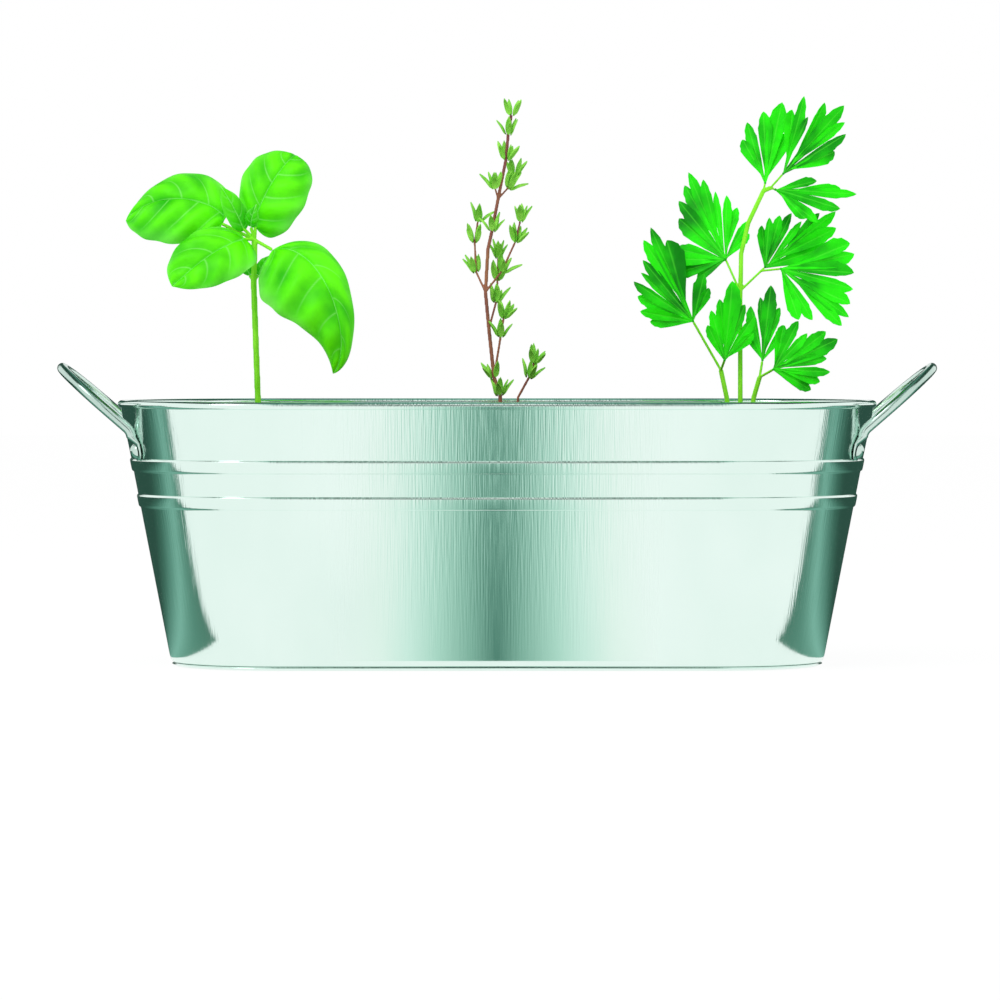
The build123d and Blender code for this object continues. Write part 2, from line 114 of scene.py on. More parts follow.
def face_outwards(merge=True):
    """Select all of the open mesh, merge its doubles and turn its faces outwards."""
    bpy.ops.mesh.select_all(action="SELECT")
    if merge:
        bpy.ops.mesh.remove_doubles(threshold=merge_reach)
    bpy.ops.mesh.normals_make_consistent(inside=False)


def close_piece(piece, finish, slot, *nodes, angle=60):
    """Leave edit mode, shade, paint and seat the piece in the frame."""
    if bpy.context.mode == "EDIT_MESH":
        bpy.ops.object.mode_set(mode="OBJECT")
    pick(piece)
    bpy.ops.object.shade_smooth_by_angle(angle=math.radians(angle))
    piece.data.materials.clear()
    piece.data.materials.append(finish)
    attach(piece, "root")
    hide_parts(*nodes)
    print(piece.name, "faces:", len(piece.data.polygons))


# %% [markdown]
# The tub is bright zinc-coated sheet, and rolling left a fine grain in it that runs from base to rim.
# The grain could be an image, but noise stretched upright does it on every side and shows no seam. It
# is read from marks that the modelling leaves on the sheet: the way round the tub, and the height. It
# drives the gloss and a faint relief, which frays the edges of reflections into upright streaks.
# Broad clouds of noise vary the colour.

# %% Parts of a finish
noise_low, noise_high = 0.3, 0.7


def shader_nodes(name):
    """A new node material with its Principled shader."""
    finish = bpy.data.materials.new(name)
    finish.use_nodes = True
    nodes = finish.node_tree.nodes
    return finish, nodes, finish.node_tree.links, nodes["Principled BSDF"]


def noise_texture(nodes, links, stretch, detail=3.0, marks=""):
    """Noise on object coordinates, or on marks in the mesh, with its own stretch along each axis."""
    if marks:
        place = nodes.new("ShaderNodeAttribute")
        place.attribute_name = marks
    else:
        place = nodes.new("ShaderNodeTexCoord")
    mapping = nodes.new("ShaderNodeMapping")
    mapping.inputs["Scale"].default_value = stretch
    texture = nodes.new("ShaderNodeTexNoise")
    texture.inputs["Scale"].default_value = 1.0
    texture.inputs["Detail"].default_value = detail
    links.new(place.outputs["Vector" if marks else "Object"], mapping.inputs["Vector"])
    links.new(mapping.outputs["Vector"], texture.inputs["Vector"])
    return texture.outputs["Fac"]


def ramp(nodes, links, factor, low, high, low_place=noise_low, high_place=noise_high):
    """Two-colour ramp on a factor."""
    node = nodes.new("ShaderNodeValToRGB")
    node.color_ramp.elements[0].position = low_place
    node.color_ramp.elements[1].position = high_place
    node.color_ramp.elements[0].color = (*low, 1)
    node.color_ramp.elements[1].color = (*high, 1)
    links.new(factor, node.inputs["Fac"])
    return node.outputs["Color"]


def spread(nodes, links, factor, low, high):
    """Map the usual range of noise on to a range of values."""
    node = nodes.new("ShaderNodeMapRange")
    node.inputs["From Min"].default_value = noise_low
    node.inputs["From Max"].default_value = noise_high
    node.inputs["To Min"].default_value = low
    node.inputs["To Max"].default_value = high
    links.new(factor, node.inputs["Value"])
    return node.outputs["Result"]


def relief(nodes, links, shader, height, strength, distance):
    """Bump on a shader."""
    bump = nodes.new("ShaderNodeBump")
    bump.inputs["Strength"].default_value = strength
    bump.inputs["Distance"].default_value = distance
    links.new(height, bump.inputs["Height"])
    links.new(bump.outputs["Normal"], shader.inputs["Normal"])


# %% Zinc finishes
grain_strength, grain_depth = 1.0, 0.03 * mm
grain_detail = 1.0
cloud_stretch = (28, 28, 14)


def zinc(name, dull, bright, grain, gloss, marks=""):
    """Zinc with a grain, dull and bright clouds and a range of roughness."""
    finish, nodes, links, shader = shader_nodes(name)
    shader.inputs["Metallic"].default_value = 1.0
    streaks = noise_texture(nodes, links, grain, grain_detail, marks)
    clouds = noise_texture(nodes, links, cloud_stretch)
    links.new(ramp(nodes, links, clouds, dull, bright), shader.inputs["Base Color"])
    links.new(spread(nodes, links, streaks, *gloss), shader.inputs["Roughness"])
    relief(nodes, links, shader, streaks, grain_strength, grain_depth)
    return finish


zinc_sheet = zinc(
    "zinc_sheet", dull=(0.74, 0.90, 0.83), bright=(0.80, 0.94, 0.88), grain=(1900, 1, 70),
    gloss=(0.08, 0.15), marks="rolled",
)
zinc_rod = zinc(
    "zinc_rod", dull=(0.50, 0.66, 0.59), bright=(0.74, 0.89, 0.82), grain=(300, 300, 300),
    gloss=(0.14, 0.24),
)
print("finishes:", zinc_sheet.name, zinc_rod.name)

# %% [markdown]
# The wall is one strip of sheet: a flange under the foot, the leaning wall with two rolled beads, and
# a rim rolled outwards. Modelled flat it would have to be bent and fitted, so its section is drawn
# once, inside and outside in one closed line, and carried round the oblong plan: a half turn of spin
# for each end and a straight extrude for each side. Points close beside each bend keep the smooth
# shading of the bend off the flat wall, which would show it as a warped reflection.

# %% Sizes of the tub wall
wall_low, wall_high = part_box("tub_wall")
rim_radius = wall_high.y
half_straight = wall_high.x - rim_radius
rim_top = wall_high.z
sheet = 0.5 * mm
foot_inset = 17 * mm
foot_round = 3 * mm
foot_flange = 4 * mm
foot_steps = 6
flange_level = wall_low.z
bend_support = 0.6 * mm
roll_radius = 1.2 * mm
roll_steps = 28
roll_centre = Vector((rim_radius - roll_radius, rim_top - roll_radius))
bead_drops = (31.6 * mm, 20.3 * mm)
bead_tall = 4.2 * mm
bead_proud = 0.55 * mm
bead_flatness = 8
bead_shares = (-1.12, -1.0, -0.93, -0.85, -0.75, -0.6, 0.0, 0.6, 0.75, 0.85, 0.93, 1.0, 1.12)
lean = (roll_centre.x + sheet / 2 - rim_radius + foot_inset) / roll_centre.y
lean_angle = math.atan(lean)
foot_half_turn = (math.pi / 2 - lean_angle) / 2
print("wall leans", round(math.degrees(lean_angle), 1), "degrees")


# %% Section of the tub wall
def wall_radius(height):
    """Outside of the plain wall at a height, from the end's own axis."""
    return rim_radius - foot_inset + lean * height


def wall_point(height, depth, proud=0.0):
    """Point of the wall at a height and a depth inside its outer face."""
    return Vector((wall_radius(height) + proud - depth / math.cos(lean_angle), height))


def arc(centre, radius, first, last, steps):
    """Points round a centre in a section, by angle in radians."""
    across, up = centre
    turns = [first + (last - first) * step / steps for step in range(steps + 1)]
    return [Vector((across + radius * math.cos(turn), up + radius * math.sin(turn))) for turn in turns]


foot_reach = foot_round * math.tan(foot_half_turn)
foot_centre = Vector((wall_radius(flange_level) - foot_reach, flange_level + foot_round))


def wall_side(depth):
    """One face of the sheet from the foot up to the rim, at a depth inside the outer face."""
    side = [Vector((foot_centre.x - foot_flange, flange_level + depth))]
    side += arc(foot_centre, foot_round - depth, -math.pi / 2, -lean_angle, foot_steps)
    side.append(wall_point(side[-1].y + bend_support, depth))
    for drop in bead_drops:
        for share in bead_shares:
            proud = bead_proud * max(0.0, 1 - abs(share) ** bead_flatness)
            side.append(wall_point(rim_top - drop + share * bead_tall / 2, depth, proud))
    return side


roll_gap = math.asin(sheet / 2 / roll_radius)
roll = arc(roll_centre, roll_radius, -math.pi / 2 + roll_gap, 1.5 * math.pi - roll_gap, roll_steps)
wall_section = wall_side(0) + roll + list(reversed(wall_side(sheet)))
print("tub section:", len(wall_section), "points")

# %% Carry the section round
end_steps = 44


def carry_round(name, section, close=True):
    """Draw a section at the front of the right end and take it once round the oblong plan."""
    piece = new_points(name)
    draw_line([Vector((half_straight, -point.x, point.y)) for point in section], close)
    for side in (1, -1):
        end = Vector((side * half_straight, 0, 0))
        bpy.ops.mesh.spin(steps=end_steps, angle=-math.pi, center=end, axis=(0, 0, 1))
        bpy.ops.mesh.extrude_region_move(TRANSFORM_OT_translate={"value": -2 * end})
    face_outwards()
    return piece


def mark_rolling(piece):
    """Mark each point's way round the plan and its height, for the grain of the rolled sheet."""
    bpy.ops.object.mode_set(mode="OBJECT")
    rolled = piece.data.attributes.new("rolled", "FLOAT_VECTOR", "POINT")
    for vert, mark in zip(piece.data.vertices, rolled.data):
        beyond = max(0.0, abs(vert.co.x) - half_straight)
        way = min(abs(vert.co.x), half_straight) + rim_radius * math.atan2(beyond, abs(vert.co.y))
        mark.vector = (math.copysign(way, vert.co.x), 0, vert.co.z)


tub = carry_round("tub", wall_section)
mark_rolling(tub)
close_piece(tub, zinc_sheet, "zinc_sheet", "tub_wall", "rim_wire")

# %% [markdown]
# Each handle is a round rod bent to a loop, its ends hammered flat and riveted to the wall. A curve
# with a bevel would be quicker, but the flattened ends need real rings: so a circle is extruded and
# spun along the rod, from the front tab round to the back one, and its two end rings are squeezed
# flat and rounded off.

# %% Where the tabs sit
rivet_drop = 15.6 * mm
rivet_height = rim_top - rivet_drop
tab_turn = math.radians(23.5)
tab_width = 6 * mm
tab_thick = 1.2 * mm
tab_rise = 2.4 * mm
swage_length = 2.4 * mm
rod_radius = 1.6 * mm
rod_rise = 1.8 * mm
bend_radius = 4 * mm
limb_length = 10 * mm
limb_rise = math.radians(41)
limb = Vector((math.cos(limb_rise), 0, math.sin(limb_rise)))


def tab_seat(side, hand):
    """Place of a rivet on the outside of the wall, and the ways along the wall, up it and outwards."""
    turn = hand * tab_turn
    radius = wall_radius(rivet_height)
    spot = Vector((half_straight + radius * math.cos(turn), radius * math.sin(turn), rivet_height))
    level = math.cos(lean_angle)
    out = Vector((level * math.cos(turn), level * math.sin(turn), -math.sin(lean_angle)))
    along = Vector((-math.sin(turn), math.cos(turn), 0))
    flip = Vector((side, 1, 1))
    return spot * flip, along * flip, out.cross(along) * flip, out * flip


print("rivet in mm:", [round(value / mm, 1) for value in tab_seat(1, -1)[0]])

# %% Moves of the open ring
rod_sides = 20
ring_reach = 1.02 * rod_radius


def open_ring(name, centre, along, up, out):
    """A circle of the rod's size, square to the way up, open in edit mode."""
    bpy.ops.object.select_all(action="DESELECT")
    turned = Matrix((along, out, -up)).transposed().to_euler()
    bpy.ops.mesh.primitive_circle_add(vertices=rod_sides, radius=rod_radius, location=centre, rotation=turned)
    piece = bpy.context.object
    piece.name = name
    bpy.ops.object.transform_apply()
    open_mesh()
    return piece


def select_ring(centre):
    """Select only the rod's ring about a centre."""
    bpy.ops.mesh.select_all(action="DESELECT")
    mesh = bmesh.from_edit_mesh(bpy.context.object.data)
    for vert in mesh.verts:
        vert.select = (vert.co - centre).length < ring_reach
    mesh.select_flush(True)
    bmesh.update_edit_mesh(bpy.context.object.data)


def stretch_ring(move):
    """Pull the open ring on in a straight line."""
    bpy.ops.mesh.extrude_region_move(TRANSFORM_OT_translate={"value": move})


def spin_ring(centre, axis, angle, steps):
    """Turn the open ring on round an axis, by the right-hand rule."""
    bpy.ops.mesh.spin(steps=steps, angle=-angle, center=centre, axis=axis)


def squeeze_ring(centre, along, out, wide, thick):
    """Scale the open ring across the tab and through it, about a centre."""
    mesh = bmesh.from_edit_mesh(bpy.context.object.data)
    for vert in mesh.verts:
        if vert.select:
            offset = vert.co - centre
            vert.co += along * offset.dot(along) * (wide - 1) + out * offset.dot(out) * (thick - 1)
    bmesh.update_edit_mesh(bpy.context.object.data)


# %% Bend the rod
tab_steps = 6
tab_end_turn = 0.96 * math.pi / 2
bend_steps = 8
loop_steps = 40


def hammer_tab(seat):
    """Flatten the open ring at a rod's end into a tab that runs on round the rivet."""
    spot, along, up, out = seat
    stretch_ring(-up * swage_length + out * (tab_thick / 2 - rod_radius))
    middle = spot + up * tab_rise + out * tab_thick / 2
    squeeze_ring(middle, along, out, tab_width / 2 / rod_radius, tab_thick / 2 / rod_radius)
    stretch_ring(-up * tab_rise)
    middle -= up * tab_rise
    for step in range(tab_steps):
        here, there = tab_end_turn * step / tab_steps, tab_end_turn * (step + 1) / tab_steps
        stretch_ring(-up * tab_width / 2 * (math.sin(there) - math.sin(here)))
        squeeze_ring(middle, along, out, math.cos(there) / math.cos(here), 1)
    bpy.ops.mesh.edge_face_add()


def bend_rod(name):
    """Right-hand loop from its front tab to its back one."""
    front, back = tab_seat(1, -1), tab_seat(1, 1)
    spot, along, up, out = front
    start = spot + up * (tab_rise + swage_length) + out * rod_radius
    piece = open_ring(name, start, along, up, out)
    bend = up.angle(limb)
    tangent = bend_radius * math.tan(bend / 2)
    axis = up.cross(limb).normalized()
    corner = start + up * rod_rise
    stretch_ring(up * (rod_rise - tangent))
    spin_ring(corner - up * tangent + axis.cross(up) * bend_radius, axis, bend, bend_steps)
    stretch_ring(limb * (limb_length - tangent))
    loop_start = corner + limb * limb_length
    loop_centre = Vector((loop_start.x, 0, loop_start.z))
    spin_ring(loop_centre, Vector((0, -1, 0)).cross(limb), math.pi, loop_steps)
    stretch_ring(-limb * (limb_length - tangent))
    back_up = back[2]
    back_axis = limb.cross(back_up).normalized()
    back_corner = corner * Vector((1, -1, 1))
    back_centre = back_corner + limb * tangent + back_axis.cross(-limb) * bend_radius
    spin_ring(back_centre, back_axis, bend, bend_steps)
    stretch_ring(-back_up * (rod_rise - tangent))
    hammer_tab(back)
    select_ring(start)
    hammer_tab(front)
    face_outwards()
    return piece


right_handle = bend_rod("right_handle")
close_piece(right_handle, zinc_rod, "zinc_rod", "handle_right", angle=50)

# %% [markdown]
# The left handle is the same rod mirrored. A mirrored copy is turned inside out, so its normals are
# recalculated. The rivets are turned pieces: half of the outline is drawn once at each tab and spun
# a full turn about the rivet's own axis, domed head outside and flat tail inside the tub.


# %% Left handle
def mirrored(piece, name):
    """Copy of a piece on the other side of the tub, with its own mesh."""
    twin = bpy.data.objects.new(name, piece.data.copy())
    bpy.context.collection.objects.link(twin)
    pick(twin)
    open_mesh()
    bpy.ops.transform.resize(value=(-1, 1, 1), center_override=(0, 0, 0))
    face_outwards(merge=False)
    return twin


left_handle = mirrored(right_handle, "left_handle")
close_piece(left_handle, zinc_rod, "zinc_rod", "handle_left", angle=50)

# %% Rivets
head_radius, head_dome, head_fit = 2.4 * mm, 1.5 * mm, 0.1 * mm
head_level = tab_thick + head_fit
shank_radius = 1.2 * mm
tail_radius, tail_thick, tail_fit = 2.1 * mm, 0.8 * mm, 0.2 * mm
tail_level = -(sheet + tail_fit)
dome_steps, rivet_steps = 7, 24


def rivet_outline():
    """Half of a rivet's outline: out from its axis, and up from the outside of the wall."""
    sphere = (head_radius ** 2 + head_dome ** 2) / (2 * head_dome)
    reach = math.asin(head_radius / sphere)
    dome = arc((0, head_level + head_dome - sphere), sphere, math.pi / 2, math.pi / 2 - reach, dome_steps)
    shank = [(head_radius, head_level), (shank_radius, head_level), (shank_radius, tail_level)]
    tail_end = tail_level - tail_thick
    tail = [(tail_radius, tail_level), (tail_radius, tail_end), (0, tail_end)]
    return dome + [Vector(point) for point in shank + tail]


def turn_rivet(seat):
    """Spin the half outline of a rivet about its axis."""
    spot, along, _, out = seat
    piece = new_points("rivet")
    draw_line([spot + along * point.x + out * point.y for point in rivet_outline()])
    bpy.ops.mesh.spin(steps=rivet_steps, angle=2 * math.pi, center=spot, axis=out)
    face_outwards()
    bpy.ops.object.mode_set(mode="OBJECT")
    return piece


def join(pieces, name):
    """Make several meshes one piece."""
    bpy.ops.object.select_all(action="DESELECT")
    for piece in pieces:
        piece.select_set(True)
    bpy.context.view_layer.objects.active = pieces[0]
    bpy.ops.object.join()
    pieces[0].name = name
    return pieces[0]


rivets = join([turn_rivet(tab_seat(side, hand)) for side in (1, -1) for hand in (-1, 1)], "rivets")
close_piece(rivets, zinc_rod, "zinc_rod", "handle_rivets", angle=40)

# %% [markdown]
# The floor pan is pressed from the same sheet: a raised floor, a step down to the ring that the tub
# stands on, and a lip crimped up round the foot of the wall. It shows under the tub and as a fine
# line along the base. Its section starts and ends on the middle line of the plan, so carried round
# it closes by itself and needs no lid.

# %% Floor pan
pan_fit = 0.1 * mm
pan_under = 2 * mm
pan_top = pan_under + sheet
pan_step = foot_centre.x - foot_flange - pan_fit
lip_round = foot_round + pan_fit
lip_end = -math.pi / 2 + foot_half_turn
pan_section = [Vector((0, pan_under)), Vector((pan_step - sheet, pan_under)), Vector((pan_step - sheet, 0))]
pan_section += arc(foot_centre, lip_round + sheet, -math.pi / 2, lip_end, foot_steps)
pan_section += arc(foot_centre, lip_round, lip_end, -math.pi / 2, foot_steps)
pan_section += [Vector((pan_step, sheet)), Vector((pan_step, pan_top)), Vector((0, pan_top))]
pan = carry_round("pan", pan_section, close=False)
mark_rolling(pan)
close_piece(pan, zinc_sheet, "zinc_sheet", "floor_pan")

# %% [markdown]
# Potting soil is level on the whole and full of small bumps. A flat lid would look like board, so a
# fine grid is cut to the plan of the tub, its points are raised and lowered by noise, and its edge is
# drawn down the wall to the floor. Crumbs are rough balls, scattered from a fixed seed and sunk into
# the top. There are hundreds, so they are made straight in the mesh with only twenty faces each.

# %% Soil finish
grit_stretch, fibre_stretch = (420, 420, 420), (1500, 1500, 1500)
soil_dark, soil_pale = (0.012, 0.007, 0.004), (0.075, 0.043, 0.024)
dark_rough, pale_rough = 0.95, 0.75
fibre_strength, fibre_depth = 0.9, 0.5 * mm
soil_finish, nodes, links, shader = shader_nodes("potting_soil")
grit = noise_texture(nodes, links, grit_stretch, detail=5.0)
fibres = noise_texture(nodes, links, fibre_stretch)
links.new(ramp(nodes, links, grit, soil_dark, soil_pale), shader.inputs["Base Color"])
links.new(spread(nodes, links, grit, dark_rough, pale_rough), shader.inputs["Roughness"])
relief(nodes, links, shader, fibres, fibre_strength, fibre_depth)
print("finish:", soil_finish.name)

# %% Soil top
soil_low, soil_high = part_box("potting_soil")
soil_columns, soil_rows = 190, 76
soil_gap = 0.3 * mm
soil_trim = 0.7 * mm
bump_height = 0.9 * mm
bump_waves = ((55, 1.0), (190, 0.6), (520, 0.4))


def way_out(point):
    """Nearest point of the plan's middle line, and the way from it to a point."""
    nearest = Vector((max(-half_straight, min(half_straight, point.x)), 0, point.z))
    return nearest, point - nearest


def to_edge(verts, height):
    """Move points to a height, at the soil's edge there."""
    for vert in verts:
        nearest, out = way_out(vert.co)
        vert.co = nearest + out.normalized() * (wall_radius(height) - sheet - soil_gap)
        vert.co.z = height


bpy.ops.object.select_all(action="DESELECT")
bpy.ops.mesh.primitive_grid_add(x_subdivisions=soil_columns, y_subdivisions=soil_rows, size=2)
soil = bpy.context.object
soil.name = "soil"
open_mesh()
bpy.ops.transform.resize(value=(soil_high.x, soil_high.y, 1), center_override=(0, 0, 0))
bpy.ops.transform.translate(value=(0, 0, soil_high.z))
mesh = bmesh.from_edit_mesh(soil.data)
outside = [vert for vert in mesh.verts if way_out(vert.co)[1].length > soil_high.y - soil_trim]
bmesh.ops.delete(mesh, geom=outside, context="VERTS")
to_edge([vert for vert in mesh.verts if vert.is_boundary], soil_high.z)
for vert in mesh.verts:
    if not vert.is_boundary:
        vert.co.z += bump_height * sum(share * noise.noise(vert.co * wave) for wave, share in bump_waves)
bmesh.update_edit_mesh(soil.data)
print("soil top:", len(mesh.verts), "points")


# %% Soil sides
def draw_down(height, inset=0.0):
    """Extrude the open edge down to a height."""
    bpy.ops.mesh.extrude_edges_move(TRANSFORM_OT_translate={"value": (0, 0, 0)})
    mesh = bmesh.from_edit_mesh(bpy.context.object.data)
    edge = [vert for vert in mesh.verts if vert.select]
    to_edge(edge, height)
    for vert in edge:
        vert.co -= way_out(vert.co)[1].normalized() * inset
    bmesh.update_edit_mesh(bpy.context.object.data)


bpy.ops.mesh.select_all(action="SELECT")
bpy.ops.mesh.region_to_loop()
draw_down(pan_top + foot_round)
draw_down(pan_top, inset=foot_round)
bpy.ops.mesh.edge_face_add()
face_outwards(merge=False)
print("soil with its sides:", len(bmesh.from_edit_mesh(soil.data).faces), "faces")

# %% Crumbs
crumb_count, crumb_seed = 460, 3
crumb_least, crumb_range = 0.4 * mm, 1.1 * mm
crumb_level, crumb_rise = 0.4 * mm, 0.3
crumb_wave, crumb_rough = 2500, 0.45
rng = random.Random(crumb_seed)
noise.seed_set(crumb_seed)
mesh = bmesh.from_edit_mesh(soil.data)
for _ in range(crumb_count):
    spot = Vector((rng.uniform(soil_low.x, soil_high.x), rng.uniform(soil_low.y, soil_high.y), soil_high.z))
    size = crumb_least + crumb_range * rng.random() ** 3
    if way_out(spot)[1].length < soil_high.y - 2 * size:
        spot.z += crumb_level + crumb_rise * size
        lump = bmesh.ops.create_icosphere(mesh, subdivisions=1, radius=size, matrix=Matrix.Translation(spot))
        for vert in lump["verts"]:
            vert.co += crumb_rough * size * noise.noise_vector(vert.co * crumb_wave)
bmesh.update_edit_mesh(soil.data)
close_piece(soil, soil_finish, "potting_soil", "potting_soil", angle=50)

# %% [markdown]
# The herbs' stems are soft and round, where the CAD stems are runs of straight rod. A copy of each is
# welded, remeshed into fine cubes, smoothed, and tapered by its height, which rounds every fork
# without any modelling by hand. The greens are noise between two tones; on the leaves, two
# values that the modelling leaves on the mesh add a tone and pale veins. On basil the tone holds
# painted light on the bulging fields and edges, and the pale mark also paints a sheen along the edges.

# %% Plant finishes
# How far the mesh's tone moves the ramp of greens; on basil that tone is painted light.
field_share = 0.3
field_low, field_high = 0.35, 0.8
leaf_shine = 0.14


def mesh_value(nodes, name):
    """Value that a mesh carries for each of its points."""
    node = nodes.new("ShaderNodeAttribute")
    node.attribute_name = name
    return node.outputs["Fac"]


def added(nodes, links, first, second, share):
    """One factor plus a share of another."""
    node = nodes.new("ShaderNodeMath")
    node.operation = "MULTIPLY_ADD"
    node.inputs[1].default_value = share
    links.new(second, node.inputs[0])
    links.new(first, node.inputs[2])
    return node.outputs[0]


def herb(name, deep, fresh, patch, gloss, vein_and_sheen=None):
    """Plant finish of two greens in patches, with a tone and pale veins where the mesh has them; on basil
    these hold painted light and a painted edge sheen.
    """
    finish, nodes, links, shader = shader_nodes(name)
    patches = noise_texture(nodes, links, (patch, patch, patch))
    colour = ramp(nodes, links, patches, deep, fresh)
    if vein_and_sheen:
        # The mesh's tone shifts the greens: on basil it is painted light on the bulges and edges.
        patches = added(nodes, links, patches, mesh_value(nodes, "tone_and_light"), field_share)
        # Pale veins mix in the pale colour, and on basil so does a painted sheen along the edges.
        mix = nodes.new("ShaderNodeMix")
        mix.data_type = "RGBA"
        mix.inputs["B"].default_value = (*vein_and_sheen, 1)
        links.new(mesh_value(nodes, "vein_and_sheen"), mix.inputs["Factor"])
        links.new(ramp(nodes, links, patches, deep, fresh, field_low, field_high), mix.inputs["A"])
        colour = mix.outputs["Result"]
    links.new(colour, shader.inputs["Base Color"])
    links.new(spread(nodes, links, patches, *gloss), shader.inputs["Roughness"])
    shader.inputs["Specular IOR Level"].default_value = leaf_shine
    return finish


green_stem = herb(
    "green_stem", deep=(0.22, 0.84, 0.02), fresh=(0.32, 1.0, 0.04), patch=120, gloss=(0.4, 0.55),
)
woody_stem = herb(
    "woody_stem", deep=(0.17, 0.035, 0.06), fresh=(0.48, 0.22, 0.10), patch=45, gloss=(0.5, 0.7),
)
thyme_green = herb(
    "thyme_green", deep=(0.15, 0.55, 0.04), fresh=(0.36, 0.86, 0.11), patch=260, gloss=(0.5, 0.65),
)
# Basil's pale colour serves its veins and the painted sheen on its edges.
basil_green = herb(
    "basil_green", deep=(0.014, 0.48, 0.003), fresh=(0.12, 0.96, 0.001), patch=70, gloss=(0.28, 0.42),
    vein_and_sheen=(0.34, 0.97, 0.22),
)
parsley_green = herb(
    "parsley_green", deep=(0.001, 0.27, 0.003), fresh=(0.02, 0.93, 0.001), patch=80, gloss=(0.4, 0.55),
    vein_and_sheen=(0.10, 0.94, 0.04),
)
plant_finishes = (green_stem, woody_stem, thyme_green, basil_green, parsley_green)
print("finishes:", [finish.name for finish in plant_finishes])

# %% Stems
stem_cube = 0.22 * mm
stem_smoothing = 8


def cad_copy(node, name):
    """Welded copy of a CAD node's mesh as a piece of its own."""
    piece = bpy.data.objects.new(name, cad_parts[node].data.copy())
    bpy.context.collection.objects.link(piece)
    pick(piece)
    open_mesh()
    bpy.ops.mesh.remove_doubles(threshold=merge_reach)
    bpy.ops.object.mode_set(mode="OBJECT")
    return piece


def apply_modifier(piece, kind, **settings):
    """Add a modifier and apply it at once."""
    modifier = piece.modifiers.new(kind.lower(), kind)
    for setting, value in settings.items():
        setattr(modifier, setting, value)
    bpy.ops.object.modifier_apply(modifier=modifier.name)


def grow_stem(node, finish, slot, swell, taper):
    """Rounded stem from a CAD stem, a little thicker or thinner and tapered with height."""
    piece = cad_copy(node, "grown_" + node)
    apply_modifier(piece, "REMESH", mode="VOXEL", voxel_size=stem_cube)
    apply_modifier(piece, "SMOOTH", factor=0.5, iterations=stem_smoothing)
    apply_modifier(piece, "DISPLACE", strength=swell, mid_level=0.0)
    height = piece.vertex_groups.new(name="height")
    low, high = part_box(node)
    for vert in piece.data.vertices:
        height.add([vert.index], (vert.co.z - low.z) / (high.z - low.z), "REPLACE")
    apply_modifier(piece, "DISPLACE", strength=-taper, mid_level=0.0, vertex_group="height")
    close_piece(piece, finish, slot, node)


grow_stem("basil_stem", green_stem, "green_stem", swell=0.12 * mm, taper=0.05 * mm)
grow_stem("parsley_stem_middle", green_stem, "green_stem", swell=-0.03 * mm, taper=0.12 * mm)
for node in ("parsley_stem_left", "parsley_stem_right"):
    grow_stem(node, green_stem, "green_stem", swell=-0.04 * mm, taper=0.03 * mm)
grow_stem("thyme_stem", woody_stem, "woody_stem", swell=0.12 * mm, taper=0.20 * mm)
grow_stem("thyme_sprig", woody_stem, "woody_stem", swell=0.10 * mm, taper=0.05 * mm)

# %% [markdown]
# A basil leaf is a glossy blade, quilted between its veins. Its two edges are cubics from base to
# tip, the same ones that the solid has, and the midrib runs between them. A flat grid is laid over
# it: each point is moved by its share along and across the blade, so the outline, the arch, the sunk
# midrib and the quilting come from one short formula, which also marks the pale veins, a painted
# sheen along the edges and painted light on the bulging fields for the finish.

# %% Basil blades
soil_top = soil_high.z
basil_root = Vector((-75 * mm, 0, soil_top))
leaf_facing = Vector((0, -0.86, 0.5))
basil_blades = {
    "basil_leaf_left": dict(
        base=(-12.3, 2.0, 75.7), tip=(-42.4, 9.0, 77.0), arch=4.0, rib=0.58, point=0.6, age=1.0,
        upper=((-0.25, 22.6), (0.85, 22.6)), lower=((0.0, -12.0), (0.9, -11.0)),
    ),
    "basil_leaf_top": dict(
        base=(-1.6, 3.0, 74.9), tip=(10.6, 9.0, 97.2), arch=4.0, rib=0.55, point=0.4, age=0.95,
        upper=((0.1, 15.0), (1.1, 14.0)), lower=((-0.3, -14.0), (1.1, -15.5)),
    ),
    "basil_leaf_front": dict(
        base=(-5.2, -3.0, 70.8), tip=(-26.4, -14.0, 56.4), arch=4.0, rib=0.5, point=0.7, age=0.65,
        upper=((-0.1, 14.0), (1.05, 13.0)), lower=((-0.2, -14.4), (0.85, -14.4)),
    ),
    "basil_leaf_right": dict(
        base=(4.1, -2.0, 67.2), tip=(23.1, -8.0, 28.8), arch=6.0, rib=0.72, point=0.4, age=1.0,
        upper=((-0.1, 30.0), (1.1, 12.0)), lower=((0.35, -25.0), (0.55, 5.0)),
    ),
}
young_blades = [
    dict(base=(-5.0, -1.0, 73.5), tip=(-11.6, -4.0, 86.4), half=3.4, arch=1.5),
    dict(base=(-2.8, -2.4, 74.6), tip=(-1.4, -6.0, 80.4), half=2.2, arch=1.0),
    dict(base=(-3.4, 1.2, 59.5), tip=(-6.4, 3.0, 65.0), half=1.8, arch=0.8),
    dict(base=(-0.6, 1.2, 59.5), tip=(2.4, 3.0, 65.0), half=1.8, arch=0.8),
]
cubic_crown, young_far = 0.75, 0.85
for blade in young_blades:
    crown = blade["half"] / cubic_crown
    blade.update(upper=((0.0, crown), (young_far, crown)), lower=((0.0, -crown), (young_far, -crown)))
    blade.update(rib=0.5, point=1.0, age=0.2)
print("basil blades:", len(basil_blades), "large,", len(young_blades), "young")


# %% Lines and marks of a leaf
def flat_blade(rows, columns):
    """Flat grid of unit size, along X, that a blade is shaped from."""
    bpy.ops.object.select_all(action="DESELECT")
    bpy.ops.mesh.primitive_grid_add(x_subdivisions=rows, y_subdivisions=columns, size=1)
    return bpy.context.object


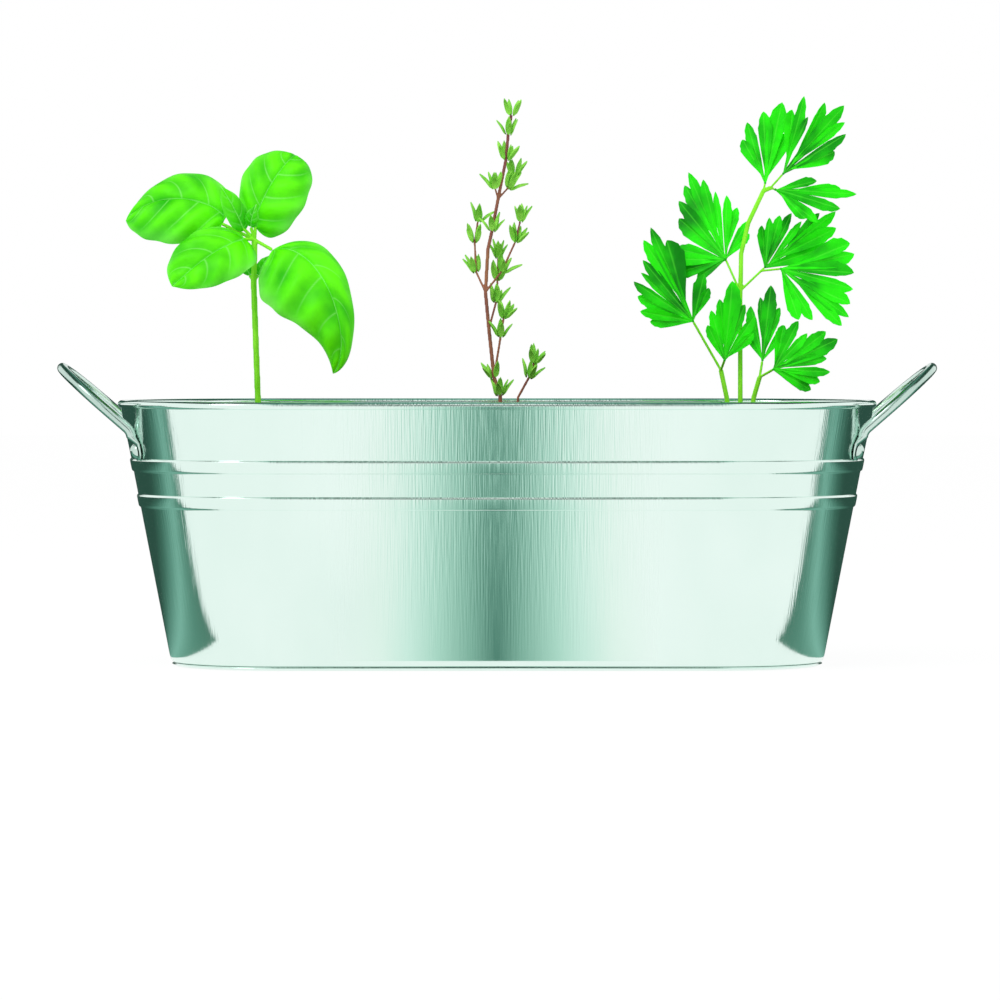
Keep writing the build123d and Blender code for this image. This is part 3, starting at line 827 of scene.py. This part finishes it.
def marked_points(piece):
    """Points of a blade, each with its marks for the pale veins and painted edge sheen, and for the tone with
    painted light.
    """
    vein_and_sheen_marks = piece.data.attributes.new("vein_and_sheen", "FLOAT", "POINT")
    tones_and_light = piece.data.attributes.new("tone_and_light", "FLOAT", "POINT")
    return zip(piece.data.vertices, vein_and_sheen_marks.data, tones_and_light.data)


def line_mask(distance, width):
    """One on a line, falling off to nothing within about its width."""
    return math.exp(-((distance / width) ** 2))


def edge_point(handles, turn, length):
    """Place on a blade's edge, along the blade and to its side."""
    near, far = 3 * turn * (1 - turn) ** 2, 3 * turn ** 2 * (1 - turn)
    along = near * handles[0][0] + far * handles[1][0] + turn ** 3
    return Vector((along * length, (near * handles[0][1] + far * handles[1][1]) * mm))


# %% Basil leaves
basil_thick = 0.3 * mm
vein_sweep, vein_curl, vein_stagger = 0.08, 0.14, 0.4
midrib_base, midrib_fall = 0.26 * mm, 0.14 * mm
side_vein_width, side_vein_tone = 0.15 * mm, 0.5
groove_depth, groove_width = 0.3 * mm, 0.5 * mm
edge_swell, edge_lift, edge_roll = 0.03, 0.30, 0.48
quilt_rise, quilt_round, ripple_rise = 0.09, 0.6, 0.05
ripple_wave, ripple_shift = 5, 100
# Tone of a basil blade: painted light, lighter on the quilted bulges and towards the edges, over a base and a
# random ripple.
field_base, bulge_highlight, edge_highlight, field_ripple = 0.25, 0.7, 0.2, 0.4
# Painted sheen: a pale band painted along the blade's edges.
edge_sheen_tone, edge_sheen_sharpness, edge_sheen_least = 0.5, 8, 0.6
tip_start = 0.85


def blade_axes(base, tip):
    """Ways along, across and out of a blade that is turned to the light."""
    along = (tip - base).normalized()
    face = (leaf_facing - along * leaf_facing.dot(along)).normalized()
    across = face.cross(along)
    return along, across if across.z > 0 else -across, face


def basil_leaf(name, blade, rows, columns, side_veins=5):
    """Quilted blade between its two edges."""
    base, tip = (basil_root + Vector(blade[end]) * mm for end in ("base", "tip"))
    length = (tip - base).length
    along, across, face = blade_axes(base, tip)
    piece = flat_blade(rows, columns)
    piece.name = name
    for vert, vein_and_sheen, tone_and_light in marked_points(piece):
        turn, edge = vert.co.x + 0.5, 2 * abs(vert.co.y)
        upper, lower = (edge_point(blade[which], turn, length) for which in ("upper", "lower"))
        rib = lower.lerp(upper, blade["rib"])
        rim = upper if vert.co.y > 0 else lower
        half = (rim - rib).length
        phase = side_veins * (turn - vein_sweep * edge - vein_curl * edge ** 2)
        phase += vein_stagger * (vert.co.y > 0)
        quilt = math.sin(math.pi * phase) ** 2
        bulge = quilt * math.sin(math.pi * min(edge, 1)) ** quilt_round
        ripple = noise.noise(vert.co * ripple_wave + base * ripple_shift)
        place = rib.lerp(rim, edge * (1 + edge_swell * quilt * edge))
        place.x += blade["point"] * mm * (max(0.0, turn - tip_start) / (1 - tip_start)) ** 2
        share = place.x / length
        rise = blade["arch"] * mm * 4 * share * (1 - share)
        rise += half * (edge_lift * edge - edge_roll * edge ** 2)
        rise += half * (quilt_rise * bulge + ripple_rise * ripple * edge)
        rise -= groove_depth * line_mask(edge * half, groove_width)
        midrib = line_mask(edge * half, midrib_base - midrib_fall * turn)
        to_vein = abs(phase - round(phase)) * length / side_veins
        side_vein = side_vein_tone * line_mask(to_vein, side_vein_width) * (1 - edge ** 2)
        # Painted sheen: the edges are painted pale, and this is marked together with the pale veins.
        painted_edge_sheen = edge_sheen_tone * edge ** edge_sheen_sharpness * (edge_sheen_least + ripple)
        vein_and_sheen.value = max(midrib, side_vein, painted_edge_sheen)
        # Painted light: the tone is lighter on the bulges and towards the edges.
        tone_with_painted_light = field_base + bulge_highlight * bulge + edge_highlight * edge + field_ripple * ripple
        tone_and_light.value = blade["age"] * tone_with_painted_light
        vert.co = base + along * place.x + across * place.y + face * rise
    open_mesh()
    face_outwards()
    bpy.ops.object.mode_set(mode="OBJECT")
    apply_modifier(piece, "SOLIDIFY", thickness=basil_thick, offset=0.0)
    return piece


for node, blade in basil_blades.items():
    leaf = basil_leaf("grown_" + node, blade, rows=180, columns=100)
    close_piece(leaf, basil_green, "basil_leaf", node)
young = [basil_leaf("young_leaf", blade, rows=50, columns=30, side_veins=4) for blade in young_blades]
close_piece(join(young, "young_basil"), basil_green, "basil_leaf", "basil_young_leaves")

# %% [markdown]
# Parsley leaves are cut into lobes, and the lobes into teeth. One blade would need every notch drawn,
# so each lobe is a blade of its own: a grid narrowed by a toothed profile and folded along its rib.
# The longest lobe of a group runs from the stalk and the others branch from its rib, all wide enough
# to run together, and a slit is left between groups. A small knot joins them to the stalk.

# %% Parsley blades
parsley_root = Vector((77 * mm, 0, soil_top))
parsley_blades = {
    "parsley_leaf_top_left": dict(
        hub=(7.8, 2.0, 88.5), turn=-15, lean=8,
        lobes=[[(119, 15.9), (109, 20.9)], [(93, 22.9), (80, 26.3), (68, 17.8)]],
    ),
    "parsley_leaf_top_right": dict(
        hub=(13.4, -2.0, 91.4), turn=18, lean=-6,
        lobes=[
            [(82, 20.3), (75, 25.3), (67, 19.5)], [(58, 26.4), (48, 29.2), (39, 25.9)],
            [(32, 24.0), (22, 18.7)],
        ],
    ),
    "parsley_leaf_top_side": dict(
        hub=(11.0, 0.8, 86.4), turn=12, lean=20,
        lobes=[[(11, 13.8), (3, 22.0), (-3, 26.5)], [(-17, 21.6)], [(-40, 16.9), (-50, 13.4)]],
    ),
    "parsley_leaf_left_high": dict(
        hub=(-4.6, 4.0, 64.4), turn=-14, lean=6,
        lobes=[
            [(140, 20.7), (130, 24.4), (121, 28.0), (115, 30.9), (107, 26.6), (101, 22.3)],
            [(91, 20.5), (80, 17.0)], [(62, 13.9), (48, 11.0)],
        ],
    ),
    "parsley_leaf_left_inner": dict(
        hub=(-4.9, 3.3, 64.2), turn=-8, lean=22,
        lobes=[[(214, 10.5), (195, 16.5), (180, 18.0), (165, 16.7)]],
    ),
    "parsley_leaf_left_low": dict(
        hub=(-15.0, 2.0, 44.8), turn=-10, lean=-8,
        lobes=[
            [(181, 13.8), (169, 17.0), (157, 19.5), (146, 22.6)],
            [(137, 22.5), (129, 25.0), (121, 30.0), (114, 32.5), (107, 27.0)], [(75, 15.5), (63, 12.0)],
        ],
    ),
    "parsley_leaf_front_left": dict(
        hub=(-5.2, -4.8, 32.5), turn=8, lean=-3,
        lobes=[[(117, 12.4), (105, 16.2), (95, 19.3), (85, 25.1), (70, 18.7)], [(56, 16.9), (43, 12.5)]],
    ),
    "parsley_leaf_front_right": dict(
        hub=(6.8, -3.4, 32.5), turn=-8, lean=2,
        lobes=[[(118, 11.5), (103, 17.6)], [(93, 20.0), (84, 23.8), (72, 17.5)], [(58, 13.0)]],
    ),
    "parsley_leaf_low_side": dict(
        hub=(10.0, -9.0, 29.6), turn=14, lean=8,
        lobes=[
            [(73, 15.0), (60, 17.8)], [(45, 16.0), (34, 21.7), (24, 24.2), (11, 18.4)],
            [(-2, 19.0), (-13, 16.2), (-26, 14.2)],
        ],
    ),
    "parsley_leaf_right_high": dict(
        hub=(7.8, 1.6, 61.9), turn=12, lean=6,
        lobes=[
            [(92, 13.4), (84, 15.8), (73, 17.1), (62, 19.5)],
            [(50, 19.1), (43, 25.7), (37, 29.8), (28, 26.6), (18, 24.0)],
        ],
    ),
    "parsley_leaf_right_low": dict(
        hub=(12.5, -5.0, 61.3), turn=10, lean=12,
        lobes=[
            [(20, 24.3), (12, 24.9), (-3, 23.7)], [(-15, 24.2), (-28, 24.5), (-36, 26.4), (-44, 26.3)],
            [(-60, 19.0), (-74, 17.3)],
        ],
    ),
}
print("parsley blades:", len(parsley_blades))

# %% Outlines of the lobes
lobe_profile = [
    (0, 0.10), (0.2, 0.36), (0.35, 0.60), (0.55, 0.85), (0.73, 1.0), (0.79, 0.80), (0.86, 0.75), (0.91, 0.52),
    (0.96, 0.30), (1, 0),
]
branch_start, branch_fall = 0.42, 1.5
group_fill, slit_fill = 0.54, 0.31
outer_half, least_half, most_half = 0.15, 0.05, 0.26
print("lobe profile:", len(lobe_profile), "points")


def profile_width(share):
    """Width of a lobe at a share of its length."""
    for (here, width), (there, next_width) in zip(lobe_profile, lobe_profile[1:]):
        if share <= there:
            return width + (next_width - width) * (share - here) / (there - here)
    return 0.0


def ray(angle, length):
    """Place in the plane of a leaf, by its angle and its distance from the hub."""
    return Vector((math.cos(angle), math.sin(angle))) * length


def lobe_spans(groups):
    """Foot, tip and half width on each side of every lobe of a leaf, flat and in order round it."""
    lobes = []
    for count, group in enumerate(groups):
        lobes += [(math.radians(angle), length * mm, count) for angle, length in group]
    lobes.sort(reverse=True)
    for index, (angle, length, group) in enumerate(lobes):
        rib = max((lobe[1], lobe[0]) for lobe in lobes if lobe[2] == group)[1]
        branch = 0 if rib == angle else max(0.0, branch_start - branch_fall * abs(angle - rib)) * length
        halves = []
        for beside in (index - 1, index + 1):
            half = outer_half
            if 0 <= beside < len(lobes):
                fill = group_fill if lobes[beside][2] == group else slit_fill
                half = max(least_half, min(most_half, fill * abs(angle - lobes[beside][0])))
            halves.append(half * length)
        yield ray(rib, branch), ray(angle, length), halves


# %% Parsley leaves
parsley_thick = 0.22 * mm
knot_radius = 0.42 * mm
layer_step = 0.12 * mm
fold_rise, ruffle_rise = 0.22, 0.5 * mm
ruffle_along, ruffle_across, ruffle_shift = 4, 300, 1000
tooth_reach = 0.3
lobe_rows, lobe_columns = 44, 14
lobe_bends = (-2.5 * mm, 1.0 * mm)
root_tones, tip_tones, ruffle_tone = (-0.3, 1.2), (-0.4, 1.3), 0.5
lobe_vein_base, lobe_vein_fall, lobe_vein_tone = 0.24 * mm, 0.14 * mm, 0.5


def parsley_lobe(hub, axes, span, layer, dice):
    """One toothed lobe, folded along its rib."""
    right, high, face = axes
    foot, tip, halves = span
    run = tip - foot
    length = run.length
    along = (right * run.x + high * run.y) / length
    across = face.cross(along)
    start = hub + right * foot.x + high * foot.y
    bend, root_tone, tip_tone = (dice.uniform(*ends) for ends in (lobe_bends, root_tones, tip_tones))
    piece = flat_blade(lobe_rows, lobe_columns)
    for vert, vein_and_sheen, tone_and_light in marked_points(piece):
        turn, side = vert.co.x + 0.5, 2 * vert.co.y
        aside = side * halves[0 if side > 0 else 1] * profile_width(turn)
        wave = Vector((ruffle_along * turn, ruffle_across * aside, ruffle_shift * (tip.x + tip.y)))
        ruffle = noise.noise(wave)
        rise = fold_rise * abs(aside) + bend * turn ** 2 + ruffle_rise * ruffle * turn + layer_step * layer
        vein_and_sheen.value = lobe_vein_tone * line_mask(aside, lobe_vein_base - lobe_vein_fall * turn)
        tone_and_light.value = root_tone + (tip_tone - root_tone) * turn + ruffle_tone * ruffle
        reach = turn * (length + tooth_reach * abs(aside))
        vert.co = start + along * reach + across * aside + face * rise
    return piece


def parsley_leaf(node, leaf, seed):
    """Lobes of one leaf round its hub, joined by a knot."""
    turn, lean = math.radians(leaf["turn"]), math.radians(leaf["lean"])
    face = Vector((math.sin(turn) * math.cos(lean), -math.cos(turn) * math.cos(lean), math.sin(lean)))
    right = Vector((math.cos(turn), math.sin(turn), 0))
    axes = (right, face.cross(right), face)
    hub = parsley_root + Vector(leaf["hub"]) * mm
    dice = random.Random(seed)
    spans = enumerate(lobe_spans(leaf["lobes"]))
    piece = join([parsley_lobe(hub, axes, span, order % 2, dice) for order, span in spans], "grown_" + node)
    open_mesh()
    face_outwards(merge=False)
    bpy.ops.object.mode_set(mode="OBJECT")
    apply_modifier(piece, "SOLIDIFY", thickness=parsley_thick, offset=0.0)
    bpy.ops.object.mode_set(mode="EDIT")
    bpy.ops.mesh.primitive_ico_sphere_add(subdivisions=2, radius=knot_radius, location=hub)
    close_piece(piece, parsley_green, "parsley_leaf", node)


for seed, (node, leaf) in enumerate(parsley_blades.items()):
    parsley_leaf(node, leaf, seed)

# %% [markdown]
# Thyme carries its leaves in small tufts. One leaf is modelled, a narrow boat of a few dozen faces with
# its edges rolled under. A copy is laid over every leaf of the solid, each with a slightly different
# size and lean from a fixed seed, and in most places a steeper one inside it closes the tuft.

# %% One thyme leaf
widest_shift, tip_blunt = 0.8, 0.65
leaf_arch, leaf_roll, leaf_thick = 0.10, 0.10, 0.06


def thyme_leaf():
    """One leaf of unit length along X, facing Z."""
    piece = flat_blade(rows=6, columns=4)
    for vert in piece.data.vertices:
        share, side = vert.co.x + 0.5, 2 * vert.co.y
        half = math.sin(math.pi * share ** widest_shift) ** tip_blunt
        rise = leaf_arch * math.sin(math.pi * share) - leaf_roll * half * side ** 2
        vert.co = (share, side * half, rise)
    open_mesh()
    bpy.ops.mesh.remove_doubles()
    bpy.ops.object.mode_set(mode="OBJECT")
    apply_modifier(piece, "SOLIDIFY", thickness=leaf_thick, offset=-1.0)
    return piece


thyme_model = thyme_leaf()
print("thyme leaf:", len(thyme_model.data.polygons), "faces")


# %% Places of the thyme leaves
def loose_parts(node):
    """Corners of each separate solid in a CAD node."""
    cad_copy(node, "parts")
    open_mesh()
    bpy.ops.mesh.separate(type="LOOSE")
    bpy.ops.object.mode_set(mode="OBJECT")
    parts = list(bpy.context.selected_objects)
    corners = [[vert.co.copy() for vert in part.data.vertices] for part in parts]
    for part in parts:
        bpy.data.objects.remove(part)
    return sorted(corners, key=lambda part: tuple(part[0]))


def node_points(node):
    """Corners of a CAD node, in the frame."""
    return [vert.co.copy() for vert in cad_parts[node].data.vertices]


def leaf_frame(place, along, face, length, half):
    """Matrix that lays the unit leaf at a place."""
    across = face.cross(along).normalized()
    turned = Matrix((along * length, across * half, along.cross(across) * length)).transposed()
    return Matrix.Translation(place) @ turned.to_4x4()


thyme_stems = node_points("thyme_stem") + node_points("thyme_sprig")
thyme_nodes = sorted(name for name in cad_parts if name.startswith("thyme_leaves"))
print("thyme tufts:", len(thyme_nodes), "groups")

# %% Thyme leaves
thyme_sink = Vector((0, 0, 0.5 * mm))
twig_share = 0.9
face_tilt = 0.8
outer_sizes, outer_lifts = (1.1, 1.45), (0.1, 0.7)
inner_sizes, inner_lifts = (1.1, 1.5), (1.6, 2.8)
half_widths, swings = (0.17, 0.22), (-0.25, 0.25)
leaf_counts = (1, 2, 2)


def lay_thyme(node, seed):
    """Copies of the leaf over every solid of a CAD node, as one piece."""
    dice = random.Random(seed)
    mesh = bmesh.new()
    for part in loose_parts(node):
        twig = min(thyme_stems, key=lambda place: min((place - corner).length for corner in part))
        base = min(part, key=lambda corner: (corner - twig).length)
        tip = max(part, key=lambda corner: (corner - base).length)
        length = (tip - base).length
        along = (tip - base).normalized()
        face = Vector((0, 0, 1)) - Vector((along.x, along.y, 0)) * face_tilt
        outer = (base, dice.uniform(*outer_sizes), dice.uniform(*outer_lifts))
        inner = (base.lerp(twig, twig_share), dice.uniform(*inner_sizes), dice.uniform(*inner_lifts))
        for place, size, lift in (outer, inner)[:dice.choice(leaf_counts)]:
            swing = Vector((dice.uniform(*swings), dice.uniform(*swings), lift))
            lean = (along + swing).normalized()
            half = dice.uniform(*half_widths) * length
            leaf = thyme_model.data.copy()
            leaf.transform(leaf_frame(place - thyme_sink, lean, face, length * size, half))
            mesh.from_mesh(leaf)
            bpy.data.meshes.remove(leaf)
    data = bpy.data.meshes.new("grown_" + node)
    mesh.to_mesh(data)
    mesh.free()
    piece = bpy.data.objects.new("grown_" + node, data)
    bpy.context.collection.objects.link(piece)
    close_piece(piece, thyme_green, "thyme_leaf", node)


for seed, node in enumerate(thyme_nodes):
    lay_thyme(node, seed)
bpy.data.objects.remove(thyme_model)

# %% [markdown]
# The stage is a pale floor under a white sky, with a wide soft lamp above the camera. Bright sheet
# shows what stands round it more than its own colour, so dark cards stand where only reflections see
# them, as in any studio: soft-edged ones on the floor give the front and back their dark upright band
# and the ends their dark edges. One before the camera, one above it, one overhead and one far behind
# draw the dark lines on the beads and the rim.

# %% Camera
view_centre = Vector((0.9 * mm, 0.0, 52.4 * mm))
camera_distance = 2.0
camera_rise = 0.057
frame_width = 316.6 * mm
camera_place = view_centre + Vector((0, -camera_distance, camera_rise))
bpy.ops.object.camera_add(location=camera_place)
camera = bpy.context.object
camera.rotation_euler = (view_centre - camera_place).to_track_quat("-Z", "Y").to_euler()
camera.data.sensor_width = 36.0
camera.data.lens = camera.data.sensor_width * (view_centre - camera_place).length / frame_width
bpy.context.scene.camera = camera
print("lens:", round(camera.data.lens, 1), "mm")

# %% Floor and sky
floor_size = 8
floor_gap = 0.1 * mm
floor_tone = (0.9, 0.9, 0.9, 1)
floor_glow, glow_share = 1.02, 0.9
sky_light, sky_seen = 0.85, 1.0


def lit_by_rays(nodes, links, *kinds):
    """One where any of these kinds of ray arrives."""
    path = nodes.new("ShaderNodeLightPath")
    total = path.outputs[kinds[0]]
    for kind in kinds[1:]:
        most = nodes.new("ShaderNodeMath")
        most.operation = "MAXIMUM"
        links.new(total, most.inputs[0])
        links.new(path.outputs[kind], most.inputs[1])
        total = most.outputs[0]
    return total


def pale_floor():
    """White floor that glows for the camera and mirrors, and still takes the planter's shadow."""
    finish, nodes, links, shader = shader_nodes("pale_floor")
    nodes.remove(shader)
    matt = nodes.new("ShaderNodeBsdfDiffuse")
    matt.inputs["Color"].default_value = floor_tone
    glow = nodes.new("ShaderNodeEmission")
    glow.inputs["Strength"].default_value = floor_glow
    share = nodes.new("ShaderNodeMath")
    share.operation = "MULTIPLY"
    share.inputs[1].default_value = glow_share
    links.new(lit_by_rays(nodes, links, "Is Camera Ray", "Is Glossy Ray"), share.inputs[0])
    mix = nodes.new("ShaderNodeMixShader")
    links.new(share.outputs[0], mix.inputs["Fac"])
    links.new(matt.outputs["BSDF"], mix.inputs[1])
    links.new(glow.outputs["Emission"], mix.inputs[2])
    links.new(mix.outputs["Shader"], nodes["Material Output"].inputs["Surface"])
    return finish


def white_sky():
    """White for the camera, mirrors and glass; a little dimmer as light."""
    world = bpy.data.worlds.new("white_sky")
    world.use_nodes = True
    nodes, links = world.node_tree.nodes, world.node_tree.links
    level = nodes.new("ShaderNodeMapRange")
    level.inputs["To Min"].default_value = sky_light
    level.inputs["To Max"].default_value = sky_seen
    seen = lit_by_rays(nodes, links, "Is Camera Ray", "Is Glossy Ray", "Is Transmission Ray")
    links.new(seen, level.inputs["Value"])
    links.new(level.outputs["Result"], nodes["Background"].inputs["Strength"])
    nodes["Background"].inputs["Color"].default_value = (1, 1, 1, 1)
    bpy.context.scene.world = world


bpy.ops.object.select_all(action="DESELECT")
bpy.ops.mesh.primitive_plane_add(size=floor_size, location=(0, 0, cad_low.z - floor_gap))
floor = bpy.context.object
floor.name = "floor"
floor.data.materials.append(pale_floor())
white_sky()
print("stage:", floor.name, bpy.context.scene.world.name)


# %% Cards for reflections
def card_finish(name, tones):
    """Glow that changes across a card, from its middle at 0 to its edges at 1."""
    finish, nodes, links, shader = shader_nodes(name)
    place = nodes.new("ShaderNodeTexCoord")
    split = nodes.new("ShaderNodeSeparateXYZ")
    aside = nodes.new("ShaderNodeMath")
    aside.operation = "ABSOLUTE"
    doubled = nodes.new("ShaderNodeMath")
    doubled.operation = "MULTIPLY"
    doubled.inputs[1].default_value = 2.0
    shades = nodes.new("ShaderNodeValToRGB")
    stops = shades.color_ramp.elements
    while len(stops) < len(tones):
        stops.new(0.5)
    for stop, (reach, tone) in zip(stops, tones):
        stop.position = reach
        stop.color = (*tone, 1)
    links.new(place.outputs["Object"], split.inputs["Vector"])
    links.new(split.outputs["X"], aside.inputs[0])
    links.new(aside.outputs[0], doubled.inputs[0])
    links.new(doubled.outputs[0], shades.inputs["Fac"])
    links.new(shades.outputs["Color"], shader.inputs["Emission Color"])
    shader.inputs["Base Color"].default_value = (0, 0, 0, 1)
    shader.inputs["Specular IOR Level"].default_value = 0.0
    shader.inputs["Emission Strength"].default_value = 1.0
    return finish


def stand_card(name, centre, size, turn, tones):
    """Card that only reflections see."""
    bpy.ops.object.select_all(action="DESELECT")
    bpy.ops.mesh.primitive_plane_add(size=1, location=centre, rotation=turn)
    card = bpy.context.object
    card.name = name
    card.scale = (*size, 1)
    card.data.materials.append(card_finish(name, tones))
    card.visible_camera = False
    card.visible_diffuse = False
    card.visible_transmission = False
    card.visible_shadow = False
    print("card:", name, "size in m", size)


# %% Cards on the floor
card_level = cad_low.z + 0.2 * mm
flat, upright = (0, 0, 0), (math.pi / 2, 0, 0)
deep, dark, mid, white = (0.03, 0.08, 0.06), (0.06, 0.16, 0.12), (0.17, 0.38, 0.31), (1, 1, 1)
band_tones = (
    (0.0, (0.10, 0.24, 0.19)), (0.16, (0.27, 0.48, 0.40)), (0.38, (0.51, 0.74, 0.65)),
    (0.56, (0.74, 0.90, 0.84)), (0.75, (0.94, 0.98, 0.95)), (1.0, white),
)
side_tones = (
    (0.0, deep), (0.85, deep), (0.905, dark), (0.94, (0.13, 0.30, 0.24)), (0.965, (0.24, 0.48, 0.40)),
    (0.985, (0.12, 0.28, 0.22)), (1.0, (0.08, 0.20, 0.15)),
)
for name, side in (("front_card", -1), ("back_card", 1)):
    stand_card(name, (0, side * 0.295, card_level), (0.10, 0.51), flat, band_tones)
for name, side in (("left_card", -1), ("right_card", 1)):
    stand_card(name, (side * 0.86, 1.23, card_level), (2.54, 1.5), (0, 0, math.pi / 2), side_tones)

# %% Cards in the air
near_tones = ((0.0, deep), (0.5, deep), (0.9, white))
roof_tones = ((0.0, mid), (0.05, mid), (0.10, dark), (0.3, deep), (1.0, deep))
upper_tones = (
    (0.0, white), (0.07, white), (0.10, deep), (0.17, deep), (0.3, (0.3, 0.55, 0.46)), (0.6, white),
)
far_tones = ((0.0, white), (0.15, white), (0.22, deep), (1.0, deep))
stand_card("near_card", (0, -1.1, 0.28), (0.36, 0.5), upright, near_tones)
stand_card("roof_card", (0, 1.0, 1.2), (2.0, 2.9), flat, roof_tones)
stand_card("upper_card", (0, -0.825, 0.95), (1.2, 0.9), (math.radians(34), 0, 0), upper_tones)
stand_card("far_card", (0, 2.4, 0.6), (2.4, 1.2), upright, far_tones)

# %% Lamp
lamp_place, lamp_aim = Vector((-0.6, -1.0, 1.4)), Vector((0, 0, 0.08))
bpy.ops.object.light_add(type="AREA", location=lamp_place)
lamp = bpy.context.object
lamp.rotation_euler = (lamp_aim - lamp_place).to_track_quat("-Z", "Y").to_euler()
lamp.data.size = 1.2
lamp.data.energy = 10
print("lamp:", lamp.data.energy, "W")
